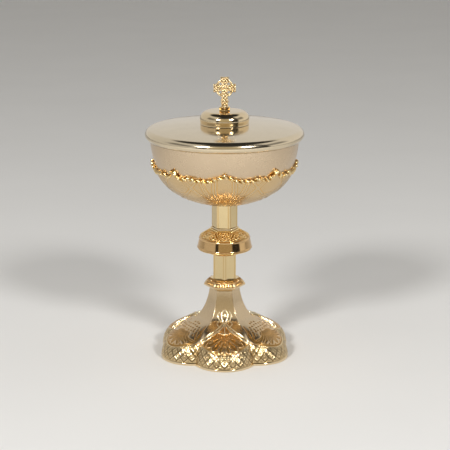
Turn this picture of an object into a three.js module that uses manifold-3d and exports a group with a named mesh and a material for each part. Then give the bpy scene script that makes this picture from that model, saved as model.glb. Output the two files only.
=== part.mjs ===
// A footed ciborium: a lidded cup on a six-sided stem with a round knop and a six-lobed foot.
// Millimetres, +Z up, the front faces -Y. The origin is the centre of the face it stands on.
import * as THREE from 'three';
import { mergeVertices } from 'three/addons/utils/BufferGeometryUtils.js';
import Module from 'manifold-3d';

const wasm = await Module();
wasm.setup();

// Fits
const seam = 0.2; // left between two pieces that seat on each other
const skinGap = 0.3; // left under a skin or moulding that follows a curved piece
const lidPlay = 0.5; // the lid's rings to the cup's wall, each side
const screwPlay = 0.2; // a screw or rod to the wall of its hole

// Sheet and wall thicknesses
const cupWall = 1.4;
const calyxWall = 0.9;
const calyxGap = 0.6; // under the calyx, where both follow the curve in straight steps
const calyxEnd = 0.98; // where the calyx leaves the cup's curve, as a share of it
const stemWall = 1.8;
const knopWall = 1.6;
const footWall = 1.5;
const lidWall = 1.3;

// Foot: six round lobes about the axis
const lobeSides = 6;
const lobeSpacing = 31.0; // from the axis to the centre of a lobe
const lobeRadius = 25.7; // outline arc of a lobe at the floor
const flangeHeight = 2.0;
const flangeWidth = 3.2;
const flangeLedge = 0.5; // the flange stands proud of the wall above it
const flangeEdge = 0.5; // bevel along the flange's upper edge
const galleryLean = 4.2; // the wall leans in this far from its foot to its top
const galleryCurve = 1.8; // above 1 the wall rises steeply and then turns in
const galleryTop = 12.4; // height of the wall at the front of a lobe
const notchRise = 4.4; // how much higher the wall is between two lobes

// Foot: crossing ridges divide the wall into diamonds, each with a small point in its middle
const lobeDiamonds = 9; // across one lobe, the middle one centred on it
const diamondHeight = 6.9;
const diamondFloor = 0.75; // the lowest crossings stand this far above the foot of the wall
const ridgeHeight = 0.42;
const pointHeight = 0.25;
const ridgeFade = 1.0; // the ridges die away over this height below the wall's top

// Foot: the lobes run up into a concave six-sided spire
const spireFoot = 30.0; // height where the flat faces begin
const spireFootRadius = 22.3; // to a corner, there
const spireTop = 56.0;
const spireTopRadius = 12.1; // to a corner, there
const spireFlare = 14.0; // height over which the curve dies away
const lobeShoulderRadius = 48.0; // control point of the slope, over a lobe
const lobeShoulderHeight = 19.5;
const valleyInset = 10.0; // the same point between two lobes lies this much further in
const valleyLift = 3.5; // and this much higher
const spirePlate = 2.2; // thickness of the plate that closes the spire

// Arch mouldings on the foot, on every other face
const archFaces = 3;
const archRib = 0.62; // radius of a rib
const fleuronRib = 0.45; // radius of the finer bars

// Stem
const collarRadius = 17.2; // to a corner
const collarLip = 1.1;
const collarRise = 5.6;
const collarTopRadius = 12.5;
const collarBulge = 1.4; // how far the collar's slope stands above a straight line
const lowerStemRadius = 10.7;
const lowerStemLength = 21.0;
const upperStemRadius = 10.6;
const upperStemLength = 19.9;
const upperStemTurn = -7; // degrees: the upper stem sits slightly turned
const lipRadius = 11.5;
const lipHeight = 1.3;

// Knop
const knopBottomRadius = 12.8;
const knopBaseHeight = 4.3;
const knopLowerRadius = 22.5;
const knopUpperRadius = 20.8;
const bandHeight = 9.6;
const bandBevel = 0.6;
const crownHeight = 6.3;
const crownTopRadius = 12.9; // to a corner of the six-sided top
const knopPlate = 1.5;
const knopEdge = 0.6; // upright edge where the knop's pieces meet
const knopStep = [0.4, 0.8]; // the base opens by this much over this height at its foot

// Cup
const rimRadius = 60.3;
const cupHeight = 53.9; // from the foot of the calyx to the rim's edge
const cupShoulder = [58.25, -31.0]; // upper control point: radius, height from the rim
const cupBelly = [45.45, -48.0]; // lower control point
const cupEnd = [10.0, -52.4]; // where the curve reaches the flat bottom
const cupDish = 1.0; // the bottom dips this far inside that radius
const rimRound = 0.5;

// Calyx: the ornamental shell round the lower cup, with a wavy edge
const calyxEdge = -24.5; // lowest height of the edge, from the rim
const broadPeak = 5.2;
const broadWidth = 16; // degrees each side of the front, the sides and the back
const sharpPeak = 6.2;
const sharpWidth = 6; // degrees each side of the diagonals
const cuspHeight = 1.4;
const cuspPlace = 29; // degrees from the front
const cuspWidth = 8;
const borderRadius = 1.2;
const calyxSeatRadius = 12.0; // flat seat on top of the stem
const calyxSeatBevel = 0.6;

// Tie: a threaded rod joins the cup to the foot through the stem
const rodRadius = 3.0;
const bossRadius = 7.6;
const bossHeight = 9.0;
const rodGrip = 7.0; // length of rod inside the boss
const blindEnd = 0.6; // the boss's hole runs this far past the rod
const washerRadius = 7.5;
const washerHeight = 1.5;
const nutFlats = 10.0;
const nutHeight = 5.0;
const rodEnd = 1.5; // rod showing under the nut

// Lid
const lidOverhang = 4.0; // the lid's rim beyond the cup's
const rimDrop = 1.4; // the lid's skirt hangs this far below the cup's rim
const lidRimHeight = 8.7; // from the skirt's lower edge to the dome's shoulder
const domeRise = 3.6; // from the shoulder to the middle
const shoulderInset = 1.2; // the dome ends this far inside the cup's rim
const seatWidth = 3.2;
const skirtTuck = 2.2; // the skirt turns in under the rim
const skirtDraft = 0.5; // the rolled rim is this much narrower at its lower side
const ringDepth = 6.0;
const ringWall = 1.2;
const ringTaper = 0.2; // the ring narrows this much to its lead-in
const ringLead = 0.6; // and this much in all at its lower edge
const ringLeadHeight = 0.8;
const rimArcStart = 75; // degrees above level where the dome turns into the rolled rim

// Lid boss and finial
const lidBossRadius = 20.0;
const lidBossHeight = 10.6;
const bossShoulder = 6.5; // radius that turns the boss's top into its side
const bossCrown = 0.2; // the top is this much higher in the middle than at the shoulder
const bossFillet = 1.4;
const bossArcStart = 86; // degrees above level where the top turns into the shoulder
const bossDraft = 0.2; // the boss is this much narrower at its foot
const bossInside = [2.0, 3.0]; // how far the corner inside the shoulder is cut off: across, down
const studRadius = 1.5;
const finialCollarRadius = 5.0; // to a corner
const finialCollarHeight = 2.8;
const finialCollarEdge = 0.6; // bevel at the bead's upper and lower edge
const finialCollarWaist = 0.55; // depth of the hollow round its middle
const finialCollarSlope = 0.5; // height over which that hollow deepens
const crossHeight = 24.0; // from the collar to the top of the cross
const crossThickness = 3.0;
const ringThickness = 2.16; // the ring of the cross is thinner than its arms
const armHalf = 9.05; // from the middle of the cross to the end of an arm
const armEnd = 3.4; // half the width of an arm's end
const armWaist = 2.3; // half the width of an arm beside the middle
const crossRing = 7.5; // outer radius of the ring
const crossHole = 0.95;
const crossHolePlace = 4.75; // from the middle of the cross to each hole
const shaftHalf = 2.55; // half the width under the ring
const shaftFoot = 3.45; // half the width at the foot of the shaft
const shaftNeck = 2.8; // half the width of the neck on the collar
const neckHeight = 3.2;
const footEdge = 0.6; // height of the edge at the shaft's foot
const footSplay = [0.3, 1.0]; // above it the shaft draws in by this much over this height
const lidNutFlats = 5.5;
const lidNutHeight = 2.4;
const lidWasherRadius = 4.5;
const lidWasherHeight = 0.8;
const studEnd = 1.0; // stud showing under its nut

// Smoothness
const lobeSteps = 72;
const roundSteps = 40;
const knopSteps = 30;
const calyxSteps = 72;
const bossSteps = 32;
const washerSteps = 16;
const boreSteps = 12;

// Heights that follow from the sizes above
const collarFloor = spireTop + seam;
const collarTop = collarFloor + collarLip + collarRise;
const lowerStemFloor = collarTop + seam;
const knopFloor = lowerStemFloor + lowerStemLength + seam;
const bandFloor = knopFloor + knopBaseHeight + seam;
const crownFloor = bandFloor + bandHeight + seam;
const lipFloor = crownFloor + crownHeight + seam;
const upperStemFloor = lipFloor + lipHeight + seam;
const calyxFloor = upperStemFloor + upperStemLength + seam;
const rimHeight = calyxFloor + cupHeight;
const lidSeat = rimHeight + seam + rimRound;
const skirtFloor = lidSeat - rimDrop;
const lidRimRadius = rimRadius + lidOverhang;
const shoulderHeight = skirtFloor + lidRimHeight;
const domeTop = shoulderHeight + domeRise;

// Sizes that follow from those of the pieces they fit
const rodBore = rodRadius + screwPlay;
const studBore = studRadius + screwPlay;
const galleryFootRadius = lobeRadius - flangeLedge;
const creaseRadius = galleryFootRadius - galleryLean;
const shoulderRadius = rimRadius - shoulderInset;

const degrees = Math.PI / 180;
const halfSide = 180 / lobeSides; // degrees from a corner of the stem to the middle of a face

// A point on a ring, from its radius, its azimuth in degrees (0 is the front) and its height
function polar(radius, azimuth, height) {
  const angle = azimuth * degrees;
  return new THREE.Vector3(radius * Math.sin(angle), -radius * Math.cos(angle), height);
}

// The angle in degrees from the nearest of a number of equal directions, the first at start
function foldAngle(azimuth, count, start = 0) {
  const step = 360 / count;
  const turned = (azimuth - start + step / 2) / step;
  return (turned - Math.floor(turned) - 0.5) * step;
}

function mix(low, high, share) {
  return low + (high - low) * share;
}

// Radius of a regular hexagon towards an azimuth, its corners turned to start
function hexagonRadius(corner, azimuth, start) {
  const fromFace = foldAngle(azimuth, lobeSides, start + halfSide) * degrees;
  return corner * Math.cos(halfSide * degrees) / Math.cos(fromFace);
}

function tidy(geometry) {
  geometry.deleteAttribute('normal');
  geometry.deleteAttribute('uv');
  const welded = mergeVertices(geometry, 1e-4);
  const at = welded.attributes.position;
  const index = welded.index.array;
  const kept = [];
  let volume = 0;
  const corners = [new THREE.Vector3(), new THREE.Vector3(), new THREE.Vector3()];
  for (let i = 0; i < index.length; i += 3) {
    const [a, b, c] = [index[i], index[i + 1], index[i + 2]];
    if (a === b || b === c || c === a) continue;
    kept.push(a, b, c);
    corners.forEach((corner, k) => corner.fromBufferAttribute(at, index[i + k]));
    volume += corners[0].dot(corners[1].clone().cross(corners[2]));
  }
  if (volume < 0) kept.reverse();
  welded.setIndex(kept);
  return welded;
}

// A skin over rings that all have the same number of points. A closed loop of rings makes a
// shell or tube with no ends, and an open row of them is closed by a fan over each end. Where
// otherDiagonal says so, the four-sided face from a row and step is cut the other way.
function loft(rings, closed, otherDiagonal = () => false) {
  const count = rings[0].length;
  const points = rings.flat();
  const triangles = [];
  const last = closed ? rings.length : rings.length - 1;
  for (let row = 0; row < last; row += 1) {
    const next = (row + 1) % rings.length;
    for (let i = 0; i < count; i += 1) {
      const j = (i + 1) % count;
      const [a, b] = [row * count + i, row * count + j];
      const [c, d] = [next * count + i, next * count + j];
      if (otherDiagonal(row, i)) triangles.push(a, b, c, b, d, c);
      else triangles.push(a, b, d, a, d, c);
    }
  }
  if (!closed) {
    [0, rings.length - 1].forEach((row, end) => {
      const middle = new THREE.Vector3();
      rings[row].forEach((point) => middle.addScaledVector(point, 1 / count));
      points.push(middle);
      for (let i = 0; i < count; i += 1) {
        const pair = [row * count + i, row * count + (i + 1) % count];
        if (end === 0) pair.reverse();
        triangles.push(pair[0], pair[1], points.length - 1);
      }
    });
  }
  const geometry = new THREE.BufferGeometry().setFromPoints(points);
  geometry.setIndex(triangles);
  return tidy(geometry);
}

function ringOf(steps, start, radiusAt, heightAt) {
  const ring = [];
  for (let i = 0; i < steps; i += 1) {
    const azimuth = start + i * 360 / steps;
    ring.push(polar(radiusAt(azimuth), azimuth, heightAt(azimuth)));
  }
  return ring;
}

// A turned piece from its half section, a list of [radius, height] that closes on itself
function turned(section, steps) {
  const outline = section.concat([section[0]]).map(([r, z]) => new THREE.Vector2(r, z));
  const geometry = new THREE.LatheGeometry(outline, steps);
  geometry.rotateX(Math.PI / 2);
  return tidy(geometry);
}

function toSolid(geometry) {
  const clean = tidy(geometry);
  const vertProperties = Float32Array.from(clean.attributes.position.array);
  const triVerts = Uint32Array.from(clean.index.array);
  return new wasm.Manifold(new wasm.Mesh({ numProp: 3, vertProperties, triVerts }));
}

function toGeometry(solid) {
  const mesh = solid.getMesh();
  const geometry = new THREE.BufferGeometry();
  geometry.setAttribute('position', new THREE.BufferAttribute(mesh.vertProperties, 3));
  geometry.setIndex(Array.from(mesh.triVerts));
  return geometry;
}

function joined(geometries) {
  const solids = geometries.map(toSolid);
  return toGeometry(solids.reduce((whole, solid) => whole.add(solid)));
}

function cylinder(radius, floor, top, steps) {
  const geometry = new THREE.CylinderGeometry(radius, radius, top - floor, steps);
  geometry.rotateX(Math.PI / 2);
  geometry.translate(0, 0, (floor + top) / 2);
  return geometry;
}

function arcPoints(centre, radius, from, to, steps) {
  const points = [];
  for (let i = 0; i <= steps; i += 1) {
    const angle = mix(from, to, i / steps) * degrees;
    points.push([centre[0] + radius * Math.cos(angle), centre[1] + radius * Math.sin(angle)]);
  }
  return points;
}

// Foot outlines and surfaces

function lobeOutline(azimuth, radius) {
  const angle = foldAngle(azimuth, lobeSides) * degrees;
  const across = lobeSpacing * Math.sin(angle);
  return lobeSpacing * Math.cos(angle) + Math.sqrt(radius * radius - across * across);
}

// 0 over the middle of a lobe and 1 between two lobes
function notchShare(azimuth) {
  return (1 - Math.cos(lobeSides * azimuth * degrees)) / 2;
}

function creaseHeight(azimuth) {
  return galleryTop + notchRise * notchShare(azimuth);
}

// The slope of the foot from the lobes' edge (0) to the foot of the spire (1)
function slopeAt(azimuth, share) {
  const notch = notchShare(azimuth);
  const keep = (1 - share) ** 2;
  const pull = 2 * (1 - share) * share;
  const reach = share ** 2;
  const radius = keep * lobeOutline(azimuth, creaseRadius)
    + pull * (lobeShoulderRadius - valleyInset * notch)
    + reach * hexagonRadius(spireFootRadius, azimuth, halfSide);
  const height = keep * creaseHeight(azimuth)
    + pull * (lobeShoulderHeight + valleyLift * notch)
    + reach * spireFoot;
  return [radius, height];
}

function spireCorner(height) {
  const fall = (rise) => Math.exp(-rise / spireFlare);
  const end = fall(spireTop - spireFoot);
  const share = (fall(height - spireFoot) - end) / (1 - end);
  return mix(spireTopRadius, spireFootRadius, share);
}

// Outer surface of the whole foot casting: 0 to 1 is the slope, 1 to 2 is the spire
function footAt(azimuth, place) {
  if (place <= 1) return slopeAt(azimuth, place);
  const height = mix(spireFoot, spireTop, place - 1);
  return [hexagonRadius(spireCorner(height), azimuth, halfSide), height];
}

function footPoint(azimuth, place) {
  const [radius, height] = footAt(azimuth, place);
  return polar(radius, azimuth, height);
}

// A point that stands off the foot's surface
function offFoot(azimuth, place, stand) {
  const point = footPoint(azimuth, place);
  const up = footPoint(azimuth, place + 0.01).sub(footPoint(azimuth, place - 0.01));
  const along = footPoint(azimuth + 0.5, place).sub(footPoint(azimuth - 0.5, place));
  return point.addScaledVector(along.cross(up).normalize(), stand);
}

function footShell() {
  const places = [0, 0.2, 0.45, 0.72, 1, 1.1, 1.25, 1.5, 2];
  const outer = places.map((place) => ringOf(
    lobeSteps,
    0,
    (azimuth) => footAt(azimuth, place)[0],
    (azimuth) => footAt(azimuth, place)[1],
  ));
  const inside = (azimuth, place) => {
    const before = footAt(azimuth, Math.max(place - 0.02, 0));
    const after = footAt(azimuth, Math.min(place + 0.02, 2));
    const run = [after[0] - before[0], after[1] - before[1]];
    const length = Math.hypot(...run);
    const [radius, height] = footAt(azimuth, place);
    const level = place === 0 ? 0 : footWall * run[0] / length;
    return [radius - footWall * run[1] / length - (place === 0 ? footWall / 2 : 0), height + level];
  };
  const plateFloor = spireTop - spirePlate;
  const platePlace = 1 + (plateFloor - spireFoot) / (spireTop - spireFoot);
  const innerPlaces = [platePlace, 1.5, 1.2, 1, 0.6, 0.25, 0];
  const inner = innerPlaces.map((place) => ringOf(
    lobeSteps,
    0,
    (azimuth) => inside(azimuth, place)[0],
    (azimuth) => (place === platePlace ? plateFloor : inside(azimuth, place)[1]),
  ));
  const boreRings = [spireTop, plateFloor].map((height) => ringOf(
    lobeSteps,
    0,
    () => rodBore,
    () => height,
  ));
  return loft([...outer, ...boreRings, ...inner], true);
}

// Quarters of a diamond are counted along the wall from the middle of the front lobe
const lobeQuarters = lobeDiamonds * 4;

// The azimuth of a column of the wall, with all columns the same distance apart along a lobe
function galleryAzimuth(column) {
  const radius = galleryFootRadius - galleryLean / 2;
  const notch = lobeOutline(halfSide, radius);
  const [beside, ahead] = [Math.sin(halfSide * degrees), Math.cos(halfSide * degrees)];
  const widest = Math.atan2(notch * beside, notch * ahead - lobeSpacing);
  const lobe = Math.round(column / lobeQuarters);
  const share = (column - lobe * lobeQuarters) / (lobeQuarters / 2);
  const turn = widest * share;
  const aside = Math.atan2(radius * Math.sin(turn), lobeSpacing + radius * Math.cos(turn));
  return lobe * 360 / lobeSides + aside / degrees;
}

// How far the wall stands proud at a column and a row of quarters: on a ridge, on the point
// in the middle of a diamond, or between them
function galleryRelief(column, row) {
  const [leftward, rightward] = [(column + row) & 3, (column - row) & 3];
  if (leftward === 0 || rightward === 0) return ridgeHeight;
  return leftward === 2 && rightward === 2 ? pointHeight : 0;
}

// The sloping wall of the foot, between the flange and the lobes' edge
function footGallery() {
  const floor = flangeHeight + seam;
  const columns = lobeQuarters * lobeSides;
  const tallest = galleryTop + notchRise - seam - floor;
  const rows = Math.ceil((tallest - diamondFloor) / (diamondHeight / 4));
  const ring = (heightAt, proudAt, thickness) => {
    const points = [];
    for (let column = 0; column < columns; column += 1) {
      const azimuth = galleryAzimuth(column);
      const top = creaseHeight(azimuth) - seam - floor;
      const height = Math.min(heightAt(top), top);
      const lean = galleryLean * (height / top) ** galleryCurve;
      const proud = proudAt(column) * Math.min(1, (top - height) / ridgeFade);
      const radius = lobeOutline(azimuth, galleryFootRadius - lean + proud - thickness);
      points.push(polar(radius, azimuth, floor + height));
    }
    return points;
  };
  const rings = [ring(() => 0, () => 0, 0)];
  for (let row = 0; row <= rows; row += 1) {
    rings.push(ring(
      () => diamondFloor + row * diamondHeight / 4,
      (column) => galleryRelief(column, row),
      0,
    ));
  }
  [1, 0.65, 0].forEach((share) => rings.push(ring((top) => top * share, () => 0, footWall)));
  // Ring 1 is the lowest row of quarters, and faces on a leftward ridge are cut along it
  return loft(rings, true, (ringNumber, column) => ((column + ringNumber) & 3) === 0);
}

function footFlange() {
  const section = [
    [0, 0],
    [0, flangeHeight - flangeEdge],
    [flangeEdge, flangeHeight],
    [flangeWidth, flangeHeight],
    [flangeWidth, 0],
  ];
  const rings = section.map(([inset, height]) => ringOf(
    lobeSteps,
    0,
    (azimuth) => lobeOutline(azimuth, lobeRadius - inset),
    () => height,
  ));
  return loft(rings, true);
}

// A bar along points, swept with a polygon that stands for its round section
function bar(points, radius, steps, sides) {
  const section = new THREE.Shape();
  for (let i = 0; i < sides; i += 1) {
    const angle = i * 2 * Math.PI / sides;
    const [x, y] = [radius * Math.cos(angle), radius * Math.sin(angle)];
    if (i === 0) section.moveTo(x, y);
    else section.lineTo(x, y);
  }
  const extrudePath = new THREE.CatmullRomCurve3(points);
  return new THREE.ExtrudeGeometry(section, { steps, bevelEnabled: false, extrudePath });
}

// A bar laid on the foot, given by its stops: degrees from the middle of a face, and place
function barOnFoot(side, stops, radius, steps, sides) {
  const points = stops.map(([azimuth, place]) => offFoot(side * azimuth, place, radius + skinGap));
  return bar(points, radius, steps, sides);
}

// The outer rib climbs from the notch to the point of the arch, draws in to a neck and
// opens again into one side of a pointed bud
const ogeeStops = [
  [28.8, 0.05], [26.3, 0.27], [21.5, 0.53], [16.1, 0.7], [9, 0.87], [4.6, 0.95],
  [2.2, 1.0], [4.6, 1.05], [8, 1.13], [8.6, 1.21], [5, 1.29], [0.3, 1.33],
];
// The inner rib starts across the neck, keeps beside the outer and runs out at the lobe's edge
const innerStops = [
  [-1.4, 1.0], [0.6, 0.975], [4.4, 0.86], [10.4, 0.735], [16.6, 0.55], [23.5, 0.22], [26, 0.05],
];
// A side leaf of the fleuron, and the hook that curls from it back to the outer rib
const leafStops = [[15.3, 1.27], [19, 1.17], [12.5, 1.06], [1.2, 0.985]];
const hookStops = [[11.5, 1.04], [15, 0.985], [15, 0.93], [7.6, 0.86]];
// Inside the point of the arch a cusp hangs between the inner ribs from a short upright
const cuspStops = [[12.4, 0.735], [5, 0.715], [0, 0.69]];
const uprightStops = [[0, 0.93], [0, 0.8], [0, 0.69]];

function archTracery(turn) {
  const bars = [barOnFoot(1, uprightStops, fleuronRib, 1, 3)];
  [-1, 1].forEach((side) => {
    bars.push(barOnFoot(side, ogeeStops, archRib, 12, 4));
    bars.push(barOnFoot(side, innerStops, archRib, 6, 4));
    bars.push(barOnFoot(side, leafStops, fleuronRib, 4, 3));
    bars.push(barOnFoot(side, hookStops, fleuronRib, 3, 3));
    bars.push(barOnFoot(side, cuspStops, fleuronRib, 2, 3));
  });
  const geometry = joined(bars);
  geometry.rotateZ(turn * degrees);
  return geometry;
}

// Six-sided and round pieces of the stem

// A ring-shaped hexagonal piece: levels of [corner radius, height] outside, one round bore
function hexagonPiece(levels, bore, start, steps = 24) {
  const outer = levels.map(([corner, height]) => ringOf(
    steps,
    start,
    (azimuth) => hexagonRadius(corner, azimuth, start),
    () => height,
  ));
  const top = levels[levels.length - 1][1];
  const inner = [top, levels[0][1]].map((height) => ringOf(steps, start, () => bore, () => height));
  return loft([...outer, ...inner], true);
}

function stemTube(corner, floor, length, start) {
  const ring = (radius, height) => ringOf(
    lobeSides,
    start,
    () => radius,
    () => height,
  );
  const inner = corner - stemWall;
  const top = floor + length;
  return loft([ring(corner, floor), ring(corner, top), ring(inner, top), ring(inner, floor)], true);
}

function lowerCollar() {
  const slope = [];
  [0, 0.3, 0.6, 1].forEach((share) => {
    const corner = mix(collarRadius, collarTopRadius, share);
    const bulge = collarBulge * Math.sin(Math.PI * share);
    slope.push([corner, collarFloor + collarLip + collarRise * share + bulge * (1 - share)]);
  });
  return hexagonPiece([[collarRadius, collarFloor], ...slope], rodBore, halfSide);
}

function upperStemLip() {
  return hexagonPiece(
    [[lipRadius, lipFloor], [lipRadius, lipFloor + lipHeight]],
    rodBore,
    halfSide,
  );
}

// The sloping shell under the knop's band
function knopBase() {
  const top = knopFloor + knopBaseHeight;
  const edge = knopLowerRadius - bandBevel;
  return turned([
    [rodBore, knopFloor],
    [knopBottomRadius, knopFloor],
    [knopBottomRadius + knopStep[0], knopFloor + knopStep[1]],
    [edge, top - knopEdge],
    [edge, top],
    [edge - knopWall, top],
    [knopBottomRadius, knopFloor + knopPlate + knopStep[1]],
    [rodBore, knopFloor + knopPlate],
  ], knopSteps);
}

function knopBand() {
  const top = bandFloor + bandHeight;
  return turned([
    [knopLowerRadius - bandBevel, bandFloor],
    [knopLowerRadius, bandFloor + bandBevel],
    [knopUpperRadius, top - bandBevel],
    [knopUpperRadius - bandBevel, top],
    [knopUpperRadius - knopWall, top],
    [knopLowerRadius - knopWall, bandFloor],
  ], knopSteps);
}

// The crown runs from the round band up to a six-sided top with a plate
function knopCrown() {
  const edge = knopUpperRadius - bandBevel;
  const top = crownFloor + crownHeight;
  const hexagon = (azimuth) => hexagonRadius(crownTopRadius, azimuth, halfSide);
  const level = (height, radiusAt) => ringOf(knopSteps, halfSide, radiusAt, () => height);
  const shape = (share) => ringOf(
    knopSteps,
    halfSide,
    (azimuth) => mix(edge, hexagon(azimuth), share),
    () => mix(crownFloor + knopEdge, top - knopEdge, share),
  );
  const bore = () => rodBore;
  return loft([
    level(crownFloor, () => edge),
    shape(0),
    shape(0.5),
    shape(1),
    level(top, hexagon),
    level(top, bore),
    level(top - knopPlate, bore),
    level(top - knopPlate, (azimuth) => hexagon(azimuth) - knopWall),
    level(crownFloor, () => edge - knopWall),
  ], true);
}

// Cup and calyx

// The cup's outer curve from its rim (0) to the edge of its flat bottom (1)
function cupCurve(share) {
  const ends = [[rimRadius, 0], cupShoulder, cupBelly, cupEnd];
  const weights = [
    (1 - share) ** 3,
    3 * (1 - share) ** 2 * share,
    3 * (1 - share) * share ** 2,
    share ** 3,
  ];
  const sum = (axis) => ends.reduce((total, end, i) => total + weights[i] * end[axis], 0);
  return [sum(0), rimHeight + sum(1)];
}

// The same curve moved outwards along its normal
function cupSkin(share, stand) {
  const before = cupCurve(share - 0.005);
  const after = cupCurve(share + 0.005);
  const run = [after[0] - before[0], after[1] - before[1]];
  const length = Math.hypot(...run);
  const [radius, height] = cupCurve(share);
  return [radius - stand * run[1] / length, height + stand * run[0] / length];
}

function cupBowl() {
  const outer = [0.03, 0.15, 0.28, 0.4, 0.5, 0.6, 0.7, 0.82, 1].map((share) => cupSkin(share, 0));
  const inner = [0.03, 0.2, 0.38, 0.52, 0.66, 0.82, 1].map((share) => cupSkin(share, -cupWall));
  const bottom = cupCurve(1)[1] - cupDish;
  const middle = rimRadius - cupWall / 2;
  const rim = arcPoints([middle, rimHeight], cupWall / 2, 160, 20, 3);
  rim.forEach((point) => {
    point[1] = rimHeight + (point[1] - rimHeight) * rimRound / (cupWall / 2);
  });
  const section = [[0, bottom], ...outer.reverse(), ...rim.reverse(), ...inner, [0, bottom + cupWall]];
  return turned(section, roundSteps);
}

// Height of the calyx's wavy edge above its lowest line
function edgeRise(azimuth) {
  const fromBroad = Math.abs(foldAngle(azimuth, 4));
  const fromSharp = Math.abs(foldAngle(azimuth, 4, 45));
  const fromCusp = Math.abs(fromBroad - cuspPlace);
  const broad = broadPeak * Math.max(0, 1 - fromBroad / broadWidth) ** 1.5;
  const sharp = sharpPeak * Math.max(0, 1 - fromSharp / sharpWidth);
  const cusp = fromCusp < cuspWidth ? cuspHeight * Math.cos(90 * degrees * fromCusp / cuspWidth) ** 2 : 0;
  return broad + sharp + cusp;
}

// Where a height lies on the cup's curve
function shareAtHeight(height) {
  let [low, high] = [0, 1];
  for (let i = 0; i < 30; i += 1) {
    const middle = (low + high) / 2;
    if (cupCurve(middle)[1] > height) low = middle;
    else high = middle;
  }
  return (low + high) / 2;
}

function edgeShare(rise) {
  return shareAtHeight(rimHeight + calyxEdge + rise);
}

// The moulding that follows the calyx's wavy edge
function calyxBorder() {
  const stand = skinGap + borderRadius;
  const sides = 5;
  const rings = [];
  const path = [];
  for (let i = 0; i < calyxSteps; i += 1) {
    const azimuth = i * 360 / calyxSteps;
    const [r, z] = cupSkin(edgeShare(edgeRise(azimuth)), stand);
    path.push(polar(r, azimuth, z));
  }
  path.forEach((point, i) => {
    const before = path[(i + calyxSteps - 1) % calyxSteps];
    const after = path[(i + 1) % calyxSteps];
    const along = after.clone().sub(before).normalize();
    const outward = new THREE.Vector3(point.x, point.y, 0).normalize();
    const across = outward.clone().cross(along).normalize();
    const out = along.clone().cross(across).normalize();
    const ring = [];
    for (let k = 0; k < sides; k += 1) {
      const angle = k * 2 * Math.PI / sides;
      const spoke = out.clone().multiplyScalar(Math.cos(angle)).addScaledVector(across, Math.sin(angle));
      ring.push(point.clone().addScaledVector(spoke, borderRadius));
    }
    rings.push(ring);
  });
  return loft(rings, true);
}

// How far the calyx must end below the moulding's centre line to stay clear of it
function clearRise(azimuth) {
  const reach = borderRadius + skinGap;
  const span = reach / rimRadius / degrees;
  let lowest = Infinity;
  for (let step = -6; step <= 6; step += 1) {
    const aside = step / 6;
    const below = edgeRise(azimuth + aside * span) - reach * Math.sqrt(1 - aside * aside);
    lowest = Math.min(lowest, below);
  }
  return lowest;
}

// The calyx is a shell close round the cup that ends under the moulding on its edge
function calyx() {
  const stemHole = bossRadius + skinGap;
  const row = (share, stand) => {
    const point = (azimuth) => cupSkin(mix(edgeShare(clearRise(azimuth)), calyxEnd, share), stand);
    return ringOf(calyxSteps, 0, (azimuth) => point(azimuth)[0], (azimuth) => point(azimuth)[1]);
  };
  const flat = (radius, height) => ringOf(calyxSteps, 0, () => radius, () => height);
  const outer = [0.8, 0.6, 0.4, 0.2, 0].map((share) => row(share, calyxGap + calyxWall));
  const inner = [0, 0.2, 0.4, 0.6, 0.8].map((share) => row(share, calyxGap));
  return loft([
    flat(calyxSeatRadius, calyxFloor),
    flat(calyxSeatRadius + calyxSeatBevel, calyxFloor + calyxSeatBevel),
    ...outer,
    ...inner,
    flat(stemHole, calyxFloor + calyxWall),
    flat(stemHole, calyxFloor),
  ], true);
}

function cupBoss() {
  const top = cupCurve(1)[1] - cupDish - seam;
  const blind = top - bossHeight + rodGrip + blindEnd;
  return turned([
    [0, blind],
    [rodBore, blind],
    [rodBore, top - bossHeight],
    [bossRadius, top - bossHeight],
    [bossRadius, top],
    [0, top],
  ], washerSteps);
}

const bossFloor = cupCurve(1)[1] - cupDish - seam - bossHeight;

// Fasteners inside the foot

const washerTop = spireTop - spirePlate - seam;
const nutTop = washerTop - washerHeight - seam;
const rodFloor = nutTop - nutHeight - rodEnd;

function tieRod() {
  return tidy(cylinder(rodRadius, rodFloor, bossFloor + rodGrip, boreSteps));
}

function washer(radius, bore, floor, height) {
  return turned([
    [bore, floor],
    [radius, floor],
    [radius, floor + height],
    [bore, floor + height],
  ], washerSteps);
}

function hexagonNut(flats, bore, floor, height) {
  const corner = flats / 2 / Math.cos(30 * degrees);
  return hexagonPiece([[corner, floor], [corner, floor + height]], bore, 0, boreSteps);
}

// Lid

// Height of the dome's outer surface, which falls away more steeply towards the shoulder
function domeHeight(radius) {
  const share = radius / shoulderRadius;
  return domeTop - domeRise * share ** 2.4;
}

// A shallow dome with a rolled rim, whose underside seats on the cup
function lidShell() {
  const outward = [0.33, 0.62, 0.82, 1].map((share) => mix(lidBossRadius, shoulderRadius, share));
  const radii = [studBore, lidBossRadius, ...outward];
  const top = radii.map((radius) => [radius, domeHeight(radius)]);
  const bead = lidRimRadius - shoulderRadius;
  const beadHeight = shoulderHeight - skirtFloor - rimDrop - skirtTuck;
  const rim = arcPoints([0, 0], 1, rimArcStart, 0, 4).map(([x, y]) => [
    shoulderRadius + bead * x,
    shoulderHeight - beadHeight + beadHeight * y,
  ]);
  const skirt = [
    [lidRimRadius - skirtDraft, skirtFloor + skirtTuck],
    [lidRimRadius - skirtTuck, skirtFloor],
    [rimRadius + lidPlay, skirtFloor],
    [rimRadius + lidPlay, lidSeat],
    [rimRadius - seatWidth, lidSeat],
  ];
  const under = radii.slice().reverse().map((radius, i) => {
    if (i === 0) return [rimRadius - seatWidth, domeHeight(rimRadius - seatWidth) - lidWall];
    return [radius, domeHeight(radius) - lidWall];
  });
  return turned([...top, ...rim, ...skirt, ...under], roundSteps);
}

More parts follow.
